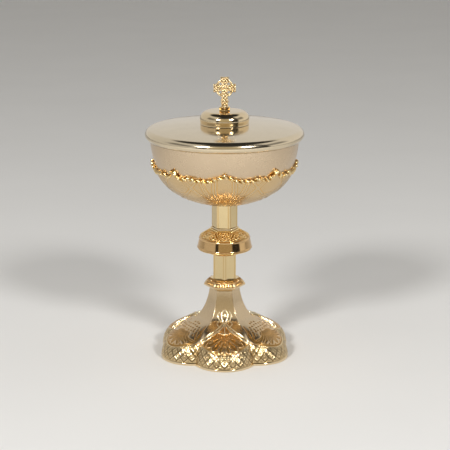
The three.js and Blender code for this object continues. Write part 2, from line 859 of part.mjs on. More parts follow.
// The hoop under the lid that drops inside the cup and keeps the lid in place
function lidLocatingRing() {
  const floor = lidSeat - ringDepth;
  const outside = cupSkin(shareAtHeight(floor), -cupWall)[0] - lidPlay;
  return turned([
    [outside - ringWall, floor],
    [outside - ringLead, floor],
    [outside - ringTaper, floor + ringLeadHeight],
    [outside, lidSeat - seam],
    [outside - ringWall, lidSeat - seam],
  ], roundSteps);
}

const lidBossTop = domeHeight(0) + lidBossHeight;

// The raised boss in the middle of the lid: a flat top, a round shoulder and a small foot
function lidBoss() {
  const floor = domeHeight(lidBossRadius) + seam;
  const turn = arcPoints(
    [lidBossRadius - bossShoulder, lidBossTop - bossShoulder - bossCrown],
    bossShoulder,
    bossArcStart,
    0,
    5,
  );
  const inside = lidBossRadius - lidWall;
  return turned([
    [studBore, lidBossTop],
    ...turn,
    [lidBossRadius - bossDraft, floor + bossFillet],
    [lidBossRadius + bossFillet, floor],
    [inside, floor],
    [inside, lidBossTop - bossShoulder - bossCrown],
    [inside - bossInside[0], lidBossTop - lidWall - bossInside[1]],
    [lidBossRadius - bossShoulder, lidBossTop - lidWall - bossCrown * 2],
    [studBore, lidBossTop - lidWall],
  ], bossSteps);
}

const finialCollarFloor = lidBossTop + seam;
const crossFloor = finialCollarFloor + finialCollarHeight + seam;
const crossMiddle = crossFloor + crossHeight - armHalf;

// The six-sided bead under the cross, with a hollow in each face
function finialCollar() {
  const [floor, top] = [finialCollarFloor, finialCollarFloor + finialCollarHeight];
  const [edge, slope] = [finialCollarEdge, finialCollarSlope];
  const waist = finialCollarRadius - finialCollarWaist;
  return hexagonPiece([
    [finialCollarRadius - edge, floor],
    [finialCollarRadius, floor + edge],
    [waist, floor + edge + slope],
    [waist, top - edge - slope],
    [finialCollarRadius, top - edge],
    [finialCollarRadius - edge, top],
  ], studBore, 0, boreSteps);
}

function flatShape(points) {
  return new THREE.Shape(points.map(([x, z]) => new THREE.Vector2(x, z)));
}

// A flat shape drawn in x and height, made into a plate that stands across the Y axis
function standingPlate(shape, thickness, smooth = 8) {
  const geometry = new THREE.ExtrudeGeometry(shape, {
    depth: thickness,
    bevelEnabled: false,
    curveSegments: smooth,
  });
  geometry.rotateX(Math.PI / 2);
  geometry.translate(0, thickness / 2, crossMiddle);
  return geometry;
}

// A ringed cross with flared arms, four small holes, a shaft and a neck with a screw stud
function crossFinial() {
  const arm = (turn) => {
    const outline = [[armWaist, 0], [armWaist, armHalf * 0.55], [armEnd, armHalf * 0.82], [armEnd, armHalf]];
    const mirrored = outline.slice().reverse().map(([x, z]) => [-x, z]);
    const points = [...outline, ...mirrored].map(([x, z]) => [
      x * Math.cos(turn) - z * Math.sin(turn),
      x * Math.sin(turn) + z * Math.cos(turn),
    ]);
    return standingPlate(flatShape(points), crossThickness);
  };
  const disc = new THREE.Shape();
  disc.absarc(0, 0, crossRing, 0, Math.PI * 2, false);
  const bottom = crossFloor - crossMiddle;
  const edge = bottom + neckHeight + footEdge;
  const side = [
    [shaftHalf, 0],
    [shaftHalf, -crossRing],
    [shaftFoot - footSplay[0], edge + footSplay[1]],
    [shaftFoot, edge],
    [shaftNeck, bottom + neckHeight],
    [shaftNeck, bottom],
  ];
  const shaft = [...side, ...side.slice().reverse().map(([x, z]) => [-x, z])];
  const studFloor = domeHeight(0) - lidWall - lidWasherHeight - lidNutHeight - 2 * seam - studEnd;
  const parts = [
    standingPlate(disc, ringThickness, 10),
    standingPlate(flatShape(shaft), crossThickness),
    cylinder(studRadius, studFloor, crossFloor + neckHeight / 2, boreSteps),
    ...[0, 1, 2, 3].map((quarter) => arm(quarter * Math.PI / 2)),
  ];
  let solid = toSolid(joined(parts));
  for (let quarter = 0; quarter < 4; quarter += 1) {
    const angle = (quarter + 0.5) * Math.PI / 2;
    const hole = new THREE.CylinderGeometry(crossHole, crossHole, crossThickness * 2, 8);
    const across = crossHolePlace * Math.cos(angle);
    hole.translate(across, 0, crossMiddle + crossHolePlace * Math.sin(angle));
    solid = solid.subtract(toSolid(hole));
  }
  return toGeometry(solid);
}

// Colours of the plating: polished, satin and deep gold, and the hidden brass
const polished = { color: 0xd8bd8a, roughness: 0.12, metalness: 1 };
const satin = { color: 0xd2b88c, roughness: 0.28, metalness: 1 };
const deepGold = { color: 0xc8964a, roughness: 0.3, metalness: 1 };
const brass = { color: 0xb89a60, roughness: 0.35, metalness: 1 };

const ciborium = new THREE.Group();

function place(name, geometry, finish) {
  const mesh = new THREE.Mesh(geometry, new THREE.MeshStandardMaterial(finish));
  mesh.name = name;
  ciborium.add(mesh);
}

place('foot_flange', footFlange(), polished);
place('foot_gallery', footGallery(), satin);
place('foot_shell', footShell(), polished);
for (let face = 0; face < archFaces; face += 1) {
  place(`arch_tracery_${face + 1}`, archTracery(face * 360 / archFaces), polished);
}
place('lower_collar', lowerCollar(), deepGold);
place('lower_stem', stemTube(lowerStemRadius, lowerStemFloor, lowerStemLength, 0), polished);
place('knop_base', knopBase(), deepGold);
place('knop_band', knopBand(), polished);
place('knop_crown', knopCrown(), deepGold);
place('upper_stem_lip', upperStemLip(), polished);
const upperStemStart = halfSide + upperStemTurn;
place('upper_stem', stemTube(upperStemRadius, upperStemFloor, upperStemLength, upperStemStart), polished);
place('calyx', calyx(), satin);
place('calyx_border', calyxBorder(), deepGold);
place('cup_bowl', cupBowl(), satin);
place('cup_boss', cupBoss(), brass);
place('tie_rod', tieRod(), brass);
place('tie_washer', washer(washerRadius, rodBore, washerTop - washerHeight, washerHeight), brass);
place('tie_nut', hexagonNut(nutFlats, rodBore, nutTop - nutHeight, nutHeight), brass);
place('lid_shell', lidShell(), polished);
place('lid_locating_ring', lidLocatingRing(), polished);
place('lid_boss', lidBoss(), polished);
place('finial_collar', finialCollar(), deepGold);
place('cross_finial', crossFinial(), deepGold);

const lidWasherFloor = domeHeight(0) - lidWall - seam - lidWasherHeight;
place('finial_washer', washer(lidWasherRadius, studBore, lidWasherFloor, lidWasherHeight), brass);
const lidNutTop = lidWasherFloor - seam;
place('finial_nut', hexagonNut(lidNutFlats, studBore, lidNutTop - lidNutHeight, lidNutHeight), brass);

export default ciborium;
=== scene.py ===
import math

import bpy
import numpy as np
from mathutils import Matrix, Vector
from mathutils.kdtree import KDTree


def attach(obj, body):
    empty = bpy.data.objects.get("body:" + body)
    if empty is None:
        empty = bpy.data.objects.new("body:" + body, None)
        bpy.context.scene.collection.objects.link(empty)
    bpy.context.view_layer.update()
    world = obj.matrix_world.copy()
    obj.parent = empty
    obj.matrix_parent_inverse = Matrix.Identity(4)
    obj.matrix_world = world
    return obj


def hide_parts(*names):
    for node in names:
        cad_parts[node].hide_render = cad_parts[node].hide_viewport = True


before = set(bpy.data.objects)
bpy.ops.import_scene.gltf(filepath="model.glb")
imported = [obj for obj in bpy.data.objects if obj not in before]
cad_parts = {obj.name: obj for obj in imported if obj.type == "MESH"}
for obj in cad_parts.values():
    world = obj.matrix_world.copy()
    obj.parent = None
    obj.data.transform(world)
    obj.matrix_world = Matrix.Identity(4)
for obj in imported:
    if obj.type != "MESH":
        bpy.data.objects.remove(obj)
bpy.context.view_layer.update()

# Foot flange: the flat six-lobed rim that the whole ciborium stands on, a plain
# polished plate with softened edges, soldered under the lattice gallery.
# Sizes are in millimetres, heights above the table, azimuth 0 towards the front.

LOBE_SPACING = 31.0
LOBE_RADIUS = 25.7


def polar(azimuth, radius, height):
    """Points from azimuths in degrees, radii and heights."""
    turn = np.radians(azimuth)
    return np.stack(np.broadcast_arrays(radius * np.sin(turn), -radius * np.cos(turn), height), -1)


def stacked(azimuth, section):
    """Rings of points round the axis, one for each radius and height of a section."""
    return np.array([polar(azimuth, radius, height) for radius, height in section])


def folded(azimuth, first):
    """Degrees to the nearest of six equal directions, the first of them at first."""
    return np.abs((azimuth - first + 30) % 60 - 30)


def lobed(azimuth, radius):
    """Distance from the axis to an outline of six round lobes."""
    off = np.radians(folded(azimuth, 0))
    return LOBE_SPACING * np.cos(off) + np.sqrt(radius**2 - (LOBE_SPACING * np.sin(off)) ** 2)


def eased(corners, ease=0.25, steps=3, support=0.3):
    """A closed section with each corner turned into a small bend, held by a near point on each side."""
    corners = np.array(corners, float)
    line = []
    for before, corner, after in zip(np.roll(corners, 1, 0), corners, np.roll(corners, -1, 0)):
        back, ahead = before - corner, after - corner
        short = min(np.linalg.norm(back), np.linalg.norm(ahead))
        cut = min(ease, 0.3 * short)
        hold = min(support, 0.15 * short)
        back, ahead = back / np.linalg.norm(back), ahead / np.linalg.norm(ahead)
        start, stop = corner + back * cut, corner + ahead * cut
        line.append(start + back * hold)
        for share in np.linspace(0, 1, steps + 1):
            line.append((1 - share) ** 2 * start + 2 * share * (1 - share) * corner + share**2 * stop)
        line.append(stop + ahead * hold)
    return np.array(line)


def wrap(rings, capped=False):
    """The faces of a skin through rings of points. Capped closes the first and last ring with a flat fan."""
    rows, columns = rings.shape[:2]
    index = np.arange(rows * columns).reshape(rows, columns)
    low = index[:-1] if capped else index
    high = index[1:] if capped else np.roll(index, -1, 0)
    quads = np.stack([low, np.roll(low, -1, 1), np.roll(high, -1, 1), high], -1).reshape(-1, 4)
    points = rings.reshape(-1, 3)
    faces = [quads]
    if capped:
        points = np.vstack([points, rings[0].mean(0), rings[-1].mean(0)])
        ends = ((index[0], len(points) - 2, -1), (index[-1], len(points) - 1, 1))
        for ring, centre, way in ends:
            faces.append(np.stack([ring, np.roll(ring, -1), np.full(columns, centre)], -1)[:, ::way])
    return points, faces


def added(name, data):
    """A new object with this data, linked to the scene."""
    thing = bpy.data.objects.new(name, data)
    bpy.context.scene.collection.objects.link(thing)
    return thing


def solid(name, shells, material, painted_shade=None):
    """One mesh object from closed shells of points and faces, turned outwards and shaded smooth."""
    points, loops, sizes, offset = [], [], [], 0
    for shell_points, shell_faces in shells:
        volume = 0.0
        for group in shell_faces:
            for k in range(1, group.shape[1] - 1):
                a, b, c = (shell_points[group[:, i]] for i in (0, k, k + 1))
                volume += np.einsum("ij,ij->i", a, np.cross(b, c)).sum()
        for group in shell_faces:
            group = group if volume > 0 else group[:, ::-1]
            loops.append((group + offset).ravel())
            sizes.append(np.full(len(group), group.shape[1]))
        points.append(shell_points)
        offset += len(shell_points)
    points, loops, sizes = np.vstack(points), np.concatenate(loops), np.concatenate(sizes)
    mesh = bpy.data.meshes.new(name)
    mesh.vertices.add(len(points))
    mesh.vertices.foreach_set("co", (points * 0.001).ravel())
    mesh.loops.add(len(loops))
    mesh.loops.foreach_set("vertex_index", loops)
    mesh.polygons.add(len(sizes))
    mesh.polygons.foreach_set("loop_start", np.concatenate([[0], np.cumsum(sizes)[:-1]]))
    mesh.polygons.foreach_set("use_smooth", np.ones(len(sizes), bool))
    # The painted shade goes to a point attribute that the gold material reads to darken its colour.
    if painted_shade is not None:
        shade_marks = np.zeros(len(points))
        shade_marks[:painted_shade.size] = painted_shade.ravel()
        mesh.attributes.new("painted_shade", "FLOAT", "POINT").data.foreach_set("value", shade_marks)
    mesh.update(calc_edges=True)
    mesh.materials.append(material)
    return added(name, mesh)


def seat(piece, slot, *nodes, body="vessel"):
    """Sets a finished piece on its body, in place of the frame's plain nodes."""
    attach(piece, body)
    if nodes:
        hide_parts(*nodes)


class Wire:
    """An output socket of a node tree. Arithmetic on it adds the Math nodes."""

    def __init__(self, nodes, socket):
        self.nodes = nodes
        self.socket = socket

    def math(self, operation, *others):
        return self.nodes.add("ShaderNodeMath", dict(enumerate((self,) + others)), {"operation": operation})

    def __add__(self, other):
        return self.math("ADD", other)

    __radd__ = __add__

    def __sub__(self, other):
        return self.math("SUBTRACT", other)

    def __rsub__(self, other):
        return self.math("MULTIPLY_ADD", -1.0, other)

    def __mul__(self, other):
        return self.math("MULTIPLY", other)

    __rmul__ = __mul__

    def __truediv__(self, other):
        return self.math("DIVIDE", other)

    def power(self, other):
        return self.math("POWER", other)

    def clamped(self):
        return self.math("MINIMUM", 1.0).math("MAXIMUM", 0.0)

    def between(self, low, high, blur):
        """1 between two values, falling to 0 over blur on each side."""
        return ((self - low) / blur).clamped() * ((high - self) / blur).clamped()


class Nodes:
    """A node tree that takes a node's type, its sockets and its settings in one call."""

    def __init__(self, tree):
        self.tree = tree

    def add(self, kind, sockets=None, settings=None, output=0):
        node = self.tree.nodes.new(kind)
        for name, value in (settings or {}).items():
            setattr(node, name, value)
        for name, value in (sockets or {}).items():
            if isinstance(value, Wire):
                self.tree.links.new(value.socket, node.inputs[name])
            else:
                node.inputs[name].default_value = value
        return Wire(self, node.outputs[output]) if len(node.outputs) else node

    def mix(self, factor, first, second):
        return self.add("ShaderNodeMix", {0: factor, 6: first, 7: second}, {"data_type": "RGBA"}, 2)


def cleared(owner):
    """The empty node tree of a new material or world."""
    owner.use_nodes = True
    owner.node_tree.nodes.clear()
    return Nodes(owner.node_tree)


# Colour of painted shade in the marks of plain plate.
PLAIN_SHADE = (0.60, 0.36, 0.12)
CLOUDS, GRAINS, TURNED_LINES = 70.0, 900.0, 1400.0


def gold(name, bright, shade_colour, roughness, pebble=0.0, pebble_size=0.8, brushed=0.0, lean=1, tone=0.06):
    """Gold plate with painted shade. Its colour turns to the shade colour where the painted shade attribute is a half,
    and darker still where it is full: shade painted into grooves and hollows. Pebble and brushed are the depths of a
    grained and a turned surface in millimetres, and lean says if the turned lines follow radius plus or minus height."""
    material = bpy.data.materials.new(name)
    look = cleared(material)
    place = look.add("ShaderNodeTexCoord", output="Object")
    painted_shade = look.add("ShaderNodeAttribute", None, {"attribute_name": "painted_shade"}, "Fac")
    cloud = look.add("ShaderNodeTexNoise", {"Vector": place, "Scale": CLOUDS, "Detail": 3.0})
    fine = look.add("ShaderNodeTexNoise", {"Vector": place, "Scale": GRAINS, "Detail": 2.0})
    split = look.add("ShaderNodeSeparateXYZ", {"Vector": place})
    x, y, z = (Wire(look, split.socket.node.outputs[k]) for k in range(3))
    radius = (x * x + y * y).power(0.5)
    around = look.add("ShaderNodeCombineXYZ", {
        "X": x / (radius + 0.001) * 1.5, "Y": y / (radius + 0.001) * 1.5, "Z": (radius + z * lean) * TURNED_LINES})
    lines = look.add("ShaderNodeTexNoise", {"Vector": around, "Scale": 1.0, "Detail": 2.0})
    dimple = look.add("ShaderNodeTexVoronoi", {"Vector": place, "Scale": 1000.0 / pebble_size, "Smoothness": 0.6},
                      {"feature": "SMOOTH_F1"})
    # Painted shade: the colour darkens towards the shade colour, and beyond it, as the painted shade attribute rises.
    colour = look.mix((painted_shade * 2).clamped(), (*bright, 1), (*shade_colour, 1))
    colour = look.mix((painted_shade * 2 - 1).clamped(), colour, (*(part * 0.3 for part in shade_colour), 1))
    darker = tuple(part * (1 - 2 * tone) for part in bright)
    colour = look.mix((cloud - 0.42).clamped() * 2.0 * (1 - painted_shade.clamped()), colour, (*darker, 1))
    shine = roughness + (cloud - 0.5) * 0.08 + (fine - 0.5) * 0.05 + painted_shade.clamped() * 0.12
    height = lines * brushed + dimple * pebble + fine * (0.02 * (pebble + brushed) + 0.001)
    bump = look.add("ShaderNodeBump", {"Strength": 1.0, "Distance": 0.001, "Height": height})
    surface = look.add("ShaderNodeBsdfPrincipled", {
        "Base Color": colour, "Metallic": 1.0, "Roughness": shine, "Normal": bump})
    look.add("ShaderNodeOutputMaterial", {"Surface": surface})
    return material


polished = gold("polished_gold", (0.84, 0.68, 0.44), PLAIN_SHADE, 0.12, brushed=0.004)
turns = np.arange(0, 360, 0.5)
flange_inset = eased([(0, 0), (0, 1.5), (0.5, 2.0), (3.2, 2.0), (3.2, 0)], 0.2)
flange = stacked(turns, [(lobed(turns, LOBE_RADIUS - inset), height) for inset, height in flange_inset])
seat(solid("foot_flange_plate", [wrap(flange)], polished), "polished_gold", "foot_flange")

# Foot gallery: the wall between flange and lobes, cast with a lattice of crossing double
# straps and a small framed boss in each diamond, polished on its high parts; its grooves and
# sunk ground are left rougher and darkened with painted shade.
# It leans inwards to meet the lobes and is soldered to the flange.

GALLERY_REACH = 25.2
GALLERY_FLOOR = 2.2
WALL_LEAN = 4.2
WALL_THICK = 1.5
WALL_MIDDLE = 23.1
CREASE_LOW = 12.4
CREASE_RISE = 4.4
DIAMONDS = 9
DIAMOND_TALL = 6.9
DIAMOND_START = 0.75
STRAP_GAP = 4.72


def swell(azimuth):
    """0 in the middle of each lobe and 1 where two lobes meet."""
    return (1 - np.cos(np.radians(6 * azimuth))) / 2


def crease(azimuth):
    """Height of the line where gallery and lobes meet."""
    return CREASE_LOW + CREASE_RISE * swell(azimuth)


def outward(rings):
    """Unit normals of rings of points that rise from row to row."""
    along = np.roll(rings, -1, 1) - np.roll(rings, 1, 1)
    normal = np.cross(along, np.gradient(rings, axis=0))
    return normal / np.linalg.norm(normal, axis=2, keepdims=True)


def hump(distance, width):
    """A rounded ridge: 1 on the line and about 0 at twice its width."""
    return np.exp(-((distance / width) ** 2))


def unit(value):
    """The value held between 0 and 1."""
    return np.clip(value, 0, 1)


def ramp(value, low, high):
    """0 at low and 1 at high, eased at both ends."""
    share = unit((value - low) / (high - low))
    return share * share * (3 - 2 * share)


def gallery_wall(share, inset=0.0):
    """The wall, share 0 at the flange to 1 under the lobes, moved towards the axis by inset."""
    return polar(turns, lobed(turns, GALLERY_REACH - inset - WALL_LEAN * share**1.8),
                 GALLERY_FLOOR + (crease(turns) - 0.2 - GALLERY_FLOOR) * share)


lattice = gold("lattice_gold", (0.86, 0.70, 0.43), (0.50, 0.33, 0.14), 0.17)
turns = np.arange(0, 360, 0.25)
shares = np.linspace(0, 1, 61)[:, None]
wall = gallery_wall(shares)
side = (turns + 30) % 60 - 30
lobe_turns = []
for a in (side, 30):
    reach = lobed(a, WALL_MIDDLE)
    lobe_turns.append(np.arctan2(reach * np.sin(np.radians(a)), reach * np.cos(np.radians(a)) - LOBE_SPACING))
across = DIAMONDS / 2 * lobe_turns[0] / lobe_turns[1]
rise = wall[..., 2] - GALLERY_FLOOR
climb = (rise - DIAMOND_START) / DIAMOND_TALL
one, two = across + climb, across - climb
off_one, off_two = (np.abs(line - np.round(line)) * STRAP_GAP for line in (one, two))
off = np.minimum(off_one, off_two)
inside = STRAP_GAP / 2 - off
grooves = np.maximum.reduce([hump(off, 0.42), 0.8 * hump(inside, 0.4), 0.5 * hump(inside - 1.0, 0.2)])
relief = 0.24 * np.maximum(ramp(-off, -1.35, -0.9), 0.8 * ramp(-inside, -0.9, -0.5)) - 0.16 * grooves
plain = ramp(np.minimum(rise, rise[-1] - rise), 0.1, 0.6) * ramp(-np.abs(side), -30, -29)
relief *= plain
wall_out = wall + outward(wall) * relief[..., None]
wall_in = gallery_wall(shares[::-9], WALL_THICK)
# Painted shade: darkens the grooves and, a little, the sunk ground between the straps.
painted_shade = unit(1.1 * grooves + 0.2 * ramp(-relief, -0.2, 0.0)) * plain
piece = solid("foot_gallery_lattice", [wrap(np.vstack([wall_out, wall_in]))], lattice, painted_shade)
seat(piece, "lattice_gold", "foot_gallery")

# Foot shell: six domed lobes that rise into a six-sided spire, raised from sheet.
# Every second lobe has an arch with a gilt panel of scrolled leaves below it, its sunk ground darkened to deep amber by
# painted shade, the others a pale palmette with rows of punched dots, and the spire is polished plain.

LOBE_EDGE = 21.0
SPIRE_FOOT = 30.0
SPIRE_TOP = 56.0
FLAT_TO_CORNER = math.cos(math.pi / 6)
SPIRE_ROOT = 22.3
SPIRE_WAIST = 12.1
SPIRE_FLARE = 10.2
SPIRE_CURVE = 14
SHEET = 1.5
BORE = 3.2
LOBE_ROWS = 91
LOBE_COLUMNS = 150
engraved = gold("engraved_gold", (0.71, 0.55, 0.35), (0.76, 0.42, 0.12), 0.24, pebble=0.012, pebble_size=1.1)


def hexagon(azimuth, corner, first=30, ease=0.4):
    """Distance from the axis to a hexagon with softened corners, one of them at azimuth first."""
    off = np.radians(folded(azimuth, first + 30))
    heart = corner - ease / FLAT_TO_CORNER
    flat = corner * FLAT_TO_CORNER / np.cos(off)
    bend = math.pi / 6 - off
    bent = heart * np.cos(bend) + np.sqrt(np.maximum(ease**2 - (heart * np.sin(bend)) ** 2, 0))
    meets = np.arctan2(heart * 0.5, heart * FLAT_TO_CORNER + ease)
    return np.where(off < meets, flat, bent)


def foot_point(azimuth, place):
    """A point of the lobes, place 0 at the crease to 1 at the spire's foot, or of the spire, 1 to 2."""
    azimuth, place = np.broadcast_arrays(azimuth, place)
    full = swell(azimuth)
    low = unit(place)
    root = hexagon(azimuth, SPIRE_ROOT, ease=0.7)
    radius = (1 - low) ** 2 * lobed(azimuth, LOBE_EDGE) + 2 * low * (1 - low) * (48 - 10 * full) + low**2 * root
    height = (1 - low) ** 2 * crease(azimuth) + 2 * low * (1 - low) * (19.5 + 3.5 * full) + low**2 * SPIRE_FOOT
    climb = (SPIRE_TOP - SPIRE_FOOT) * unit(place - 1)
    last = math.exp((SPIRE_FOOT - SPIRE_TOP) / SPIRE_CURVE)
    spread = (np.exp(-climb / SPIRE_CURVE) - last) / (1 - last)
    spire = hexagon(azimuth, SPIRE_WAIST + SPIRE_FLARE * spread, ease=0.7)
    return polar(azimuth, np.where(place > 1, spire, radius), np.where(place > 1, SPIRE_FOOT + climb, height))


def through(stops, steps=14):
    """A smooth line through the stops."""
    stops = np.array(stops, float)
    ends = np.vstack([2 * stops[0] - stops[1], stops, 2 * stops[-1] - stops[-2]])
    share = np.linspace(0, 1, steps, endpoint=False)[:, None]
    parts = [0.5 * (2 * b + (c - a) * share + (2 * a - 5 * b + 4 * c - d) * share**2
                    + (3 * b - a - 3 * c + d) * share**3) for a, b, c, d in zip(ends, ends[1:], ends[2:], ends[3:])]
    return np.vstack(parts + [stops[-1:]])


def both_sides(stops):
    """A line's stops, and the same line mirrored about azimuth 0."""
    return [stops, [(-azimuth, place) for azimuth, place in stops]]


def laid(surface, lines, steps=24):
    """The lines and their mirror images as points on a surface."""
    return [surface(*through(line, steps).T) for stops in lines for line in both_sides(stops)]


def distance(points, lines):
    """How far each point is from the nearest of the lines."""
    samples = np.vstack(lines)
    tree = KDTree(len(samples))
    for number, sample in enumerate(samples):
        tree.insert(sample, number)
    tree.balance()
    return np.array([tree.find(point)[2] for point in points.reshape(-1, 3)]).reshape(points.shape[:2])


ARCH_OUTER = [(28.8, .05), (26.3, .27), (21.5, .53), (16.1, .7), (9, .87), (4.6, .95), (2.2, 1.0), (4.6, 1.05),
              (8, 1.13), (8.6, 1.21), (5, 1.29), (0.3, 1.33)]
ARCH_INNER = [(-1.4, 1.0), (0.6, .975), (4.4, .86), (10.4, .735), (16.6, .55), (23.5, .22), (26, .05)]
leaf_lines = [
    [(1, .52), (3.4, .38), (5.6, .22), (4.6, .07), (2.2, .16), (1, .34)],
    [(2.2, .58), (8, .44), (12, .25), (11.8, .08), (8, .17), (5, .33), (2.2, .52)],
    [(4.5, .63), (12, .51), (17.6, .33), (19, .12), (14.6, .2), (10, .37), (4.5, .58)],
    [(1.2, .6), (5, .63), (8.6, .68), (8, .77), (4.2, .79), (2.8, .73), (5, .69)],
    [(20.5, .38), (22.3, .24), (22.8, .08)],
]
vein_lines = [
    [(1.6, .44), (3.3, .25), (4, .12)],
    [(4, .5), (8, .31), (10.9, .13)],
    [(7, .55), (13, .38), (17.4, .17)],
    [(15, .5), (19.3, .33), (21, .1)],
]
stem_line = [(0, .03), (0, .3), (0, .6), (0, .9)]
scroll_lines = [
    [(1.2, .3), (2.6, .46), (5.4, .44), (5.2, .34), (3.6, .36)],
    [(3.4, .66), (7, .58), (9.6, .62), (8.8, .7), (6.8, .68)],
    [(12.6, .46), (15.4, .34), (18, .36), (17.6, .44)],
]
dots = [(1.8, .83), (0.6, .9), (12.4, .62), (11.2, .69), (14.8, .56), (9.6, .66), (17.8, .47), (9.4, .74), (5.8, .8)]
shoulder_dots = [(20, .66), (22.5, .58), (25, .5), (27, .34), (26.5, .66), (24.5, .78)]
palmette = [[(26.5, .8), (26.5, .5), (25.5, .25), (22, .1), (12, .07), (0, .06)],
            [(27.8, .5), (26.9, .22), (23, .05), (12, .025), (0, .02)]]
palmette_veins = []
for tip in (0, 7.5, 15, 21.5):
    palmette += [[(tip * .25, .62), (tip * .65 + way * 1.9, .36), (tip + way * 1.4, .21), (tip, .13)]
                 for way in (1, -1)]
    palmette_veins.append([(tip * .5, .46), (tip * .8, .28), (tip * .95, .19)])
dashes = [(11, .55), (17, .5), (22, .42), (24, .3), (19.5, .16), (5, .64), (9, .6), (13, .66), (21, .5), (24.5, .62),
          (4, .14), (11, .16)]
palmette_veins += [[(az, place), (az + .9, place - .05)] for az, place in dashes]
palmette_dots = [(3, .68), (9, .66), (14.5, .61), (20, .56), (24, .6), (0, .75), (6.5, .74), (13, .7), (19, .66),
                 (3.5, .82), (10.5, .79), (17, .75), (0, .89), (7, .87)]
turns = np.arange(-30, 330, 0.4)
places = np.concatenate([np.linspace(0, 1, LOBE_ROWS), np.linspace(1, 2, 11)[1:]])[:, None]
rows = places[:LOBE_ROWS]
skin = foot_point(turns, places)
patch = skin[:LOBE_ROWS, :LOBE_COLUMNS]


def near(lines):
    """How far each point of the lobe is from the nearest of the lines and their mirror images."""
    return distance(patch, laid(foot_point, lines))


def punched(stops):
    """The same for punched dots."""
    return distance(patch, [foot_point(way * az, place) for az, place in stops for way in (1, -1)])


panel_edge = np.interp(rows[:, 0], [.05, .22, .55, .735, .86, .985], [26, 23.5, 16.6, 10.4, 4.4, 0.3])
in_panel = unit((panel_edge[:, None] - np.abs(turns[:LOBE_COLUMNS])) / 0.8)
in_panel *= unit((rows - 0.012) / 0.02) * unit((0.97 - rows) / 0.02)
ridges = near(leaf_lines + [stem_line])
scrolls = near(scroll_lines)
grooves = np.maximum(hump(near(vein_lines), 0.34), hump(punched(dots), 0.4))
arched = 0.26 * np.maximum(hump(ridges, 0.45), hump(scrolls, 0.4)) - 0.2 * grooves - 0.14
arched = in_panel * (arched + 0.1 * hump(near([ARCH_INNER]), 0.9))
# Painted shade on the arched panels: the sunk ground between the raised leaves is darkened to amber, the grooves more.
arched_lobe_shade = in_panel * unit(0.56 - 2.2 * (arched + 0.14) + 0.3 * grooves)
# Painted shade in punched dots on the shoulders beside the panel, which have no relief of their own.
arched_lobe_shade += 0.8 * (1 - in_panel) * hump(punched(shoulder_dots), 0.55)
lined = np.maximum(hump(near(palmette), 0.42), hump(near(palmette_veins), 0.5))
cut_in = np.maximum(lined, 1.3 * hump(punched(palmette_dots), 0.8)) * unit((0.96 - rows) / 0.04)
x, y, z = np.moveaxis(patch, -1, 0)
grain = 0.5 + 0.5 * np.sin(x * 2.1 + 1.3 * np.sin(y * 1.7)) * np.sin(y * 2.6 + z)
# Painted shade in the palmette's cut lines and punched dots, with a faint grain pattern of the engraving lower down.
plain_lobe_shade = unit(cut_in + 0.14 * grain * unit((0.75 - rows) / 0.1))
lip = 0.55 * unit(1 - rows / 0.02) ** 2
relief = np.tile(np.hstack([arched - lip, -0.2 * cut_in - lip]), (1, 3))
painted_shade = np.tile(np.hstack([arched_lobe_shade, plain_lobe_shade]), (1, 3))
normal = outward(skin)
skin_out = skin.copy()
skin_out[:LOBE_ROWS] += normal[:LOBE_ROWS] * relief[..., None]
inner_rows = [98, 92, 86, 70, 50, 30, 12, 0]
plate = stacked(turns, [(hexagon(turns, 11.9, ease=0.7), SPIRE_TOP), (BORE, SPIRE_TOP), (BORE, 53.8), (9.0, 53.8)])
skin_in = [skin[row] - SHEET * normal[row] for row in inner_rows]
piece = solid("foot_shell_lobes", [wrap(np.array([*skin_out, *plate, *skin_in]))], engraved, painted_shade)
seat(piece, "engraved_gold", "foot_shell")

# Arch tracery: on every second face of the foot a pointed double arch of wire with a
# fleuron of leaves at its top, cusps inside it and a small eyelet at each shoulder.
# The wires are round, bent to the shape of the foot and soldered on.

BAR_RADIUS = 0.62
FINE_RADIUS = 0.45
WIRE_STAND = 0.55
ARCHES = 3
BALL_DETAIL = 2
FINE_BARS = [
    [(15.3, 1.27), (19, 1.17), (12.5, 1.06), (1.2, .985)],
    [(11.5, 1.04), (15, .985), (15, .93), (7.6, .86)],
    [(12.4, .735), (5, .715), (0, .69)],
]
UPRIGHT = [(0, .93), (0, .8), (0, .69)]


def foot_normal(azimuth, place):
    """The foot's outward direction, measured across a small step each way."""
    along = foot_point(azimuth + 0.2, place) - foot_point(azimuth - 0.2, place)
    up = foot_point(azimuth, place + 0.01) - foot_point(azimuth, place - 0.01)
    normal = np.cross(along, up)
    return normal / np.linalg.norm(normal, axis=-1, keepdims=True)


def wires(name, lines, closed=False):
    """A curve object of lines on the foot, each a list of stops and the radius of its wire."""
    curve = bpy.data.curves.new(name, "CURVE")
    curve.dimensions = "3D"
    for stops, radius in lines:
        azimuth, place = (np.array(stops) if closed else through(stops, 8)).T
        points = foot_point(azimuth, place) + foot_normal(azimuth, place) * WIRE_STAND * radius
        spline = curve.splines.new("POLY")
        spline.points.add(len(points) - 1)
        spline.use_cyclic_u = closed
        for slot, point in zip(spline.points, points * 0.001):
            slot.co = (*point, 1)
            slot.radius = radius * 0.001
    return added(name, curve)


def begun(name, inputs):
    """A Geometry Nodes tree with these inputs after its geometry, and the wires that they come in on."""
    tree = bpy.data.node_groups.new(name, "GeometryNodeTree")
    for label, kind in [("Geometry", "Geometry")] + inputs:
        tree.interface.new_socket(label, in_out="INPUT", socket_type="NodeSocket" + kind)
    tree.interface.new_socket("Geometry", in_out="OUTPUT", socket_type="NodeSocketGeometry")
    nodes = Nodes(tree)
    given = tree.nodes.new("NodeGroupInput")
    return nodes, [Wire(nodes, given.outputs[k]) for k in range(len(inputs) + 1)]


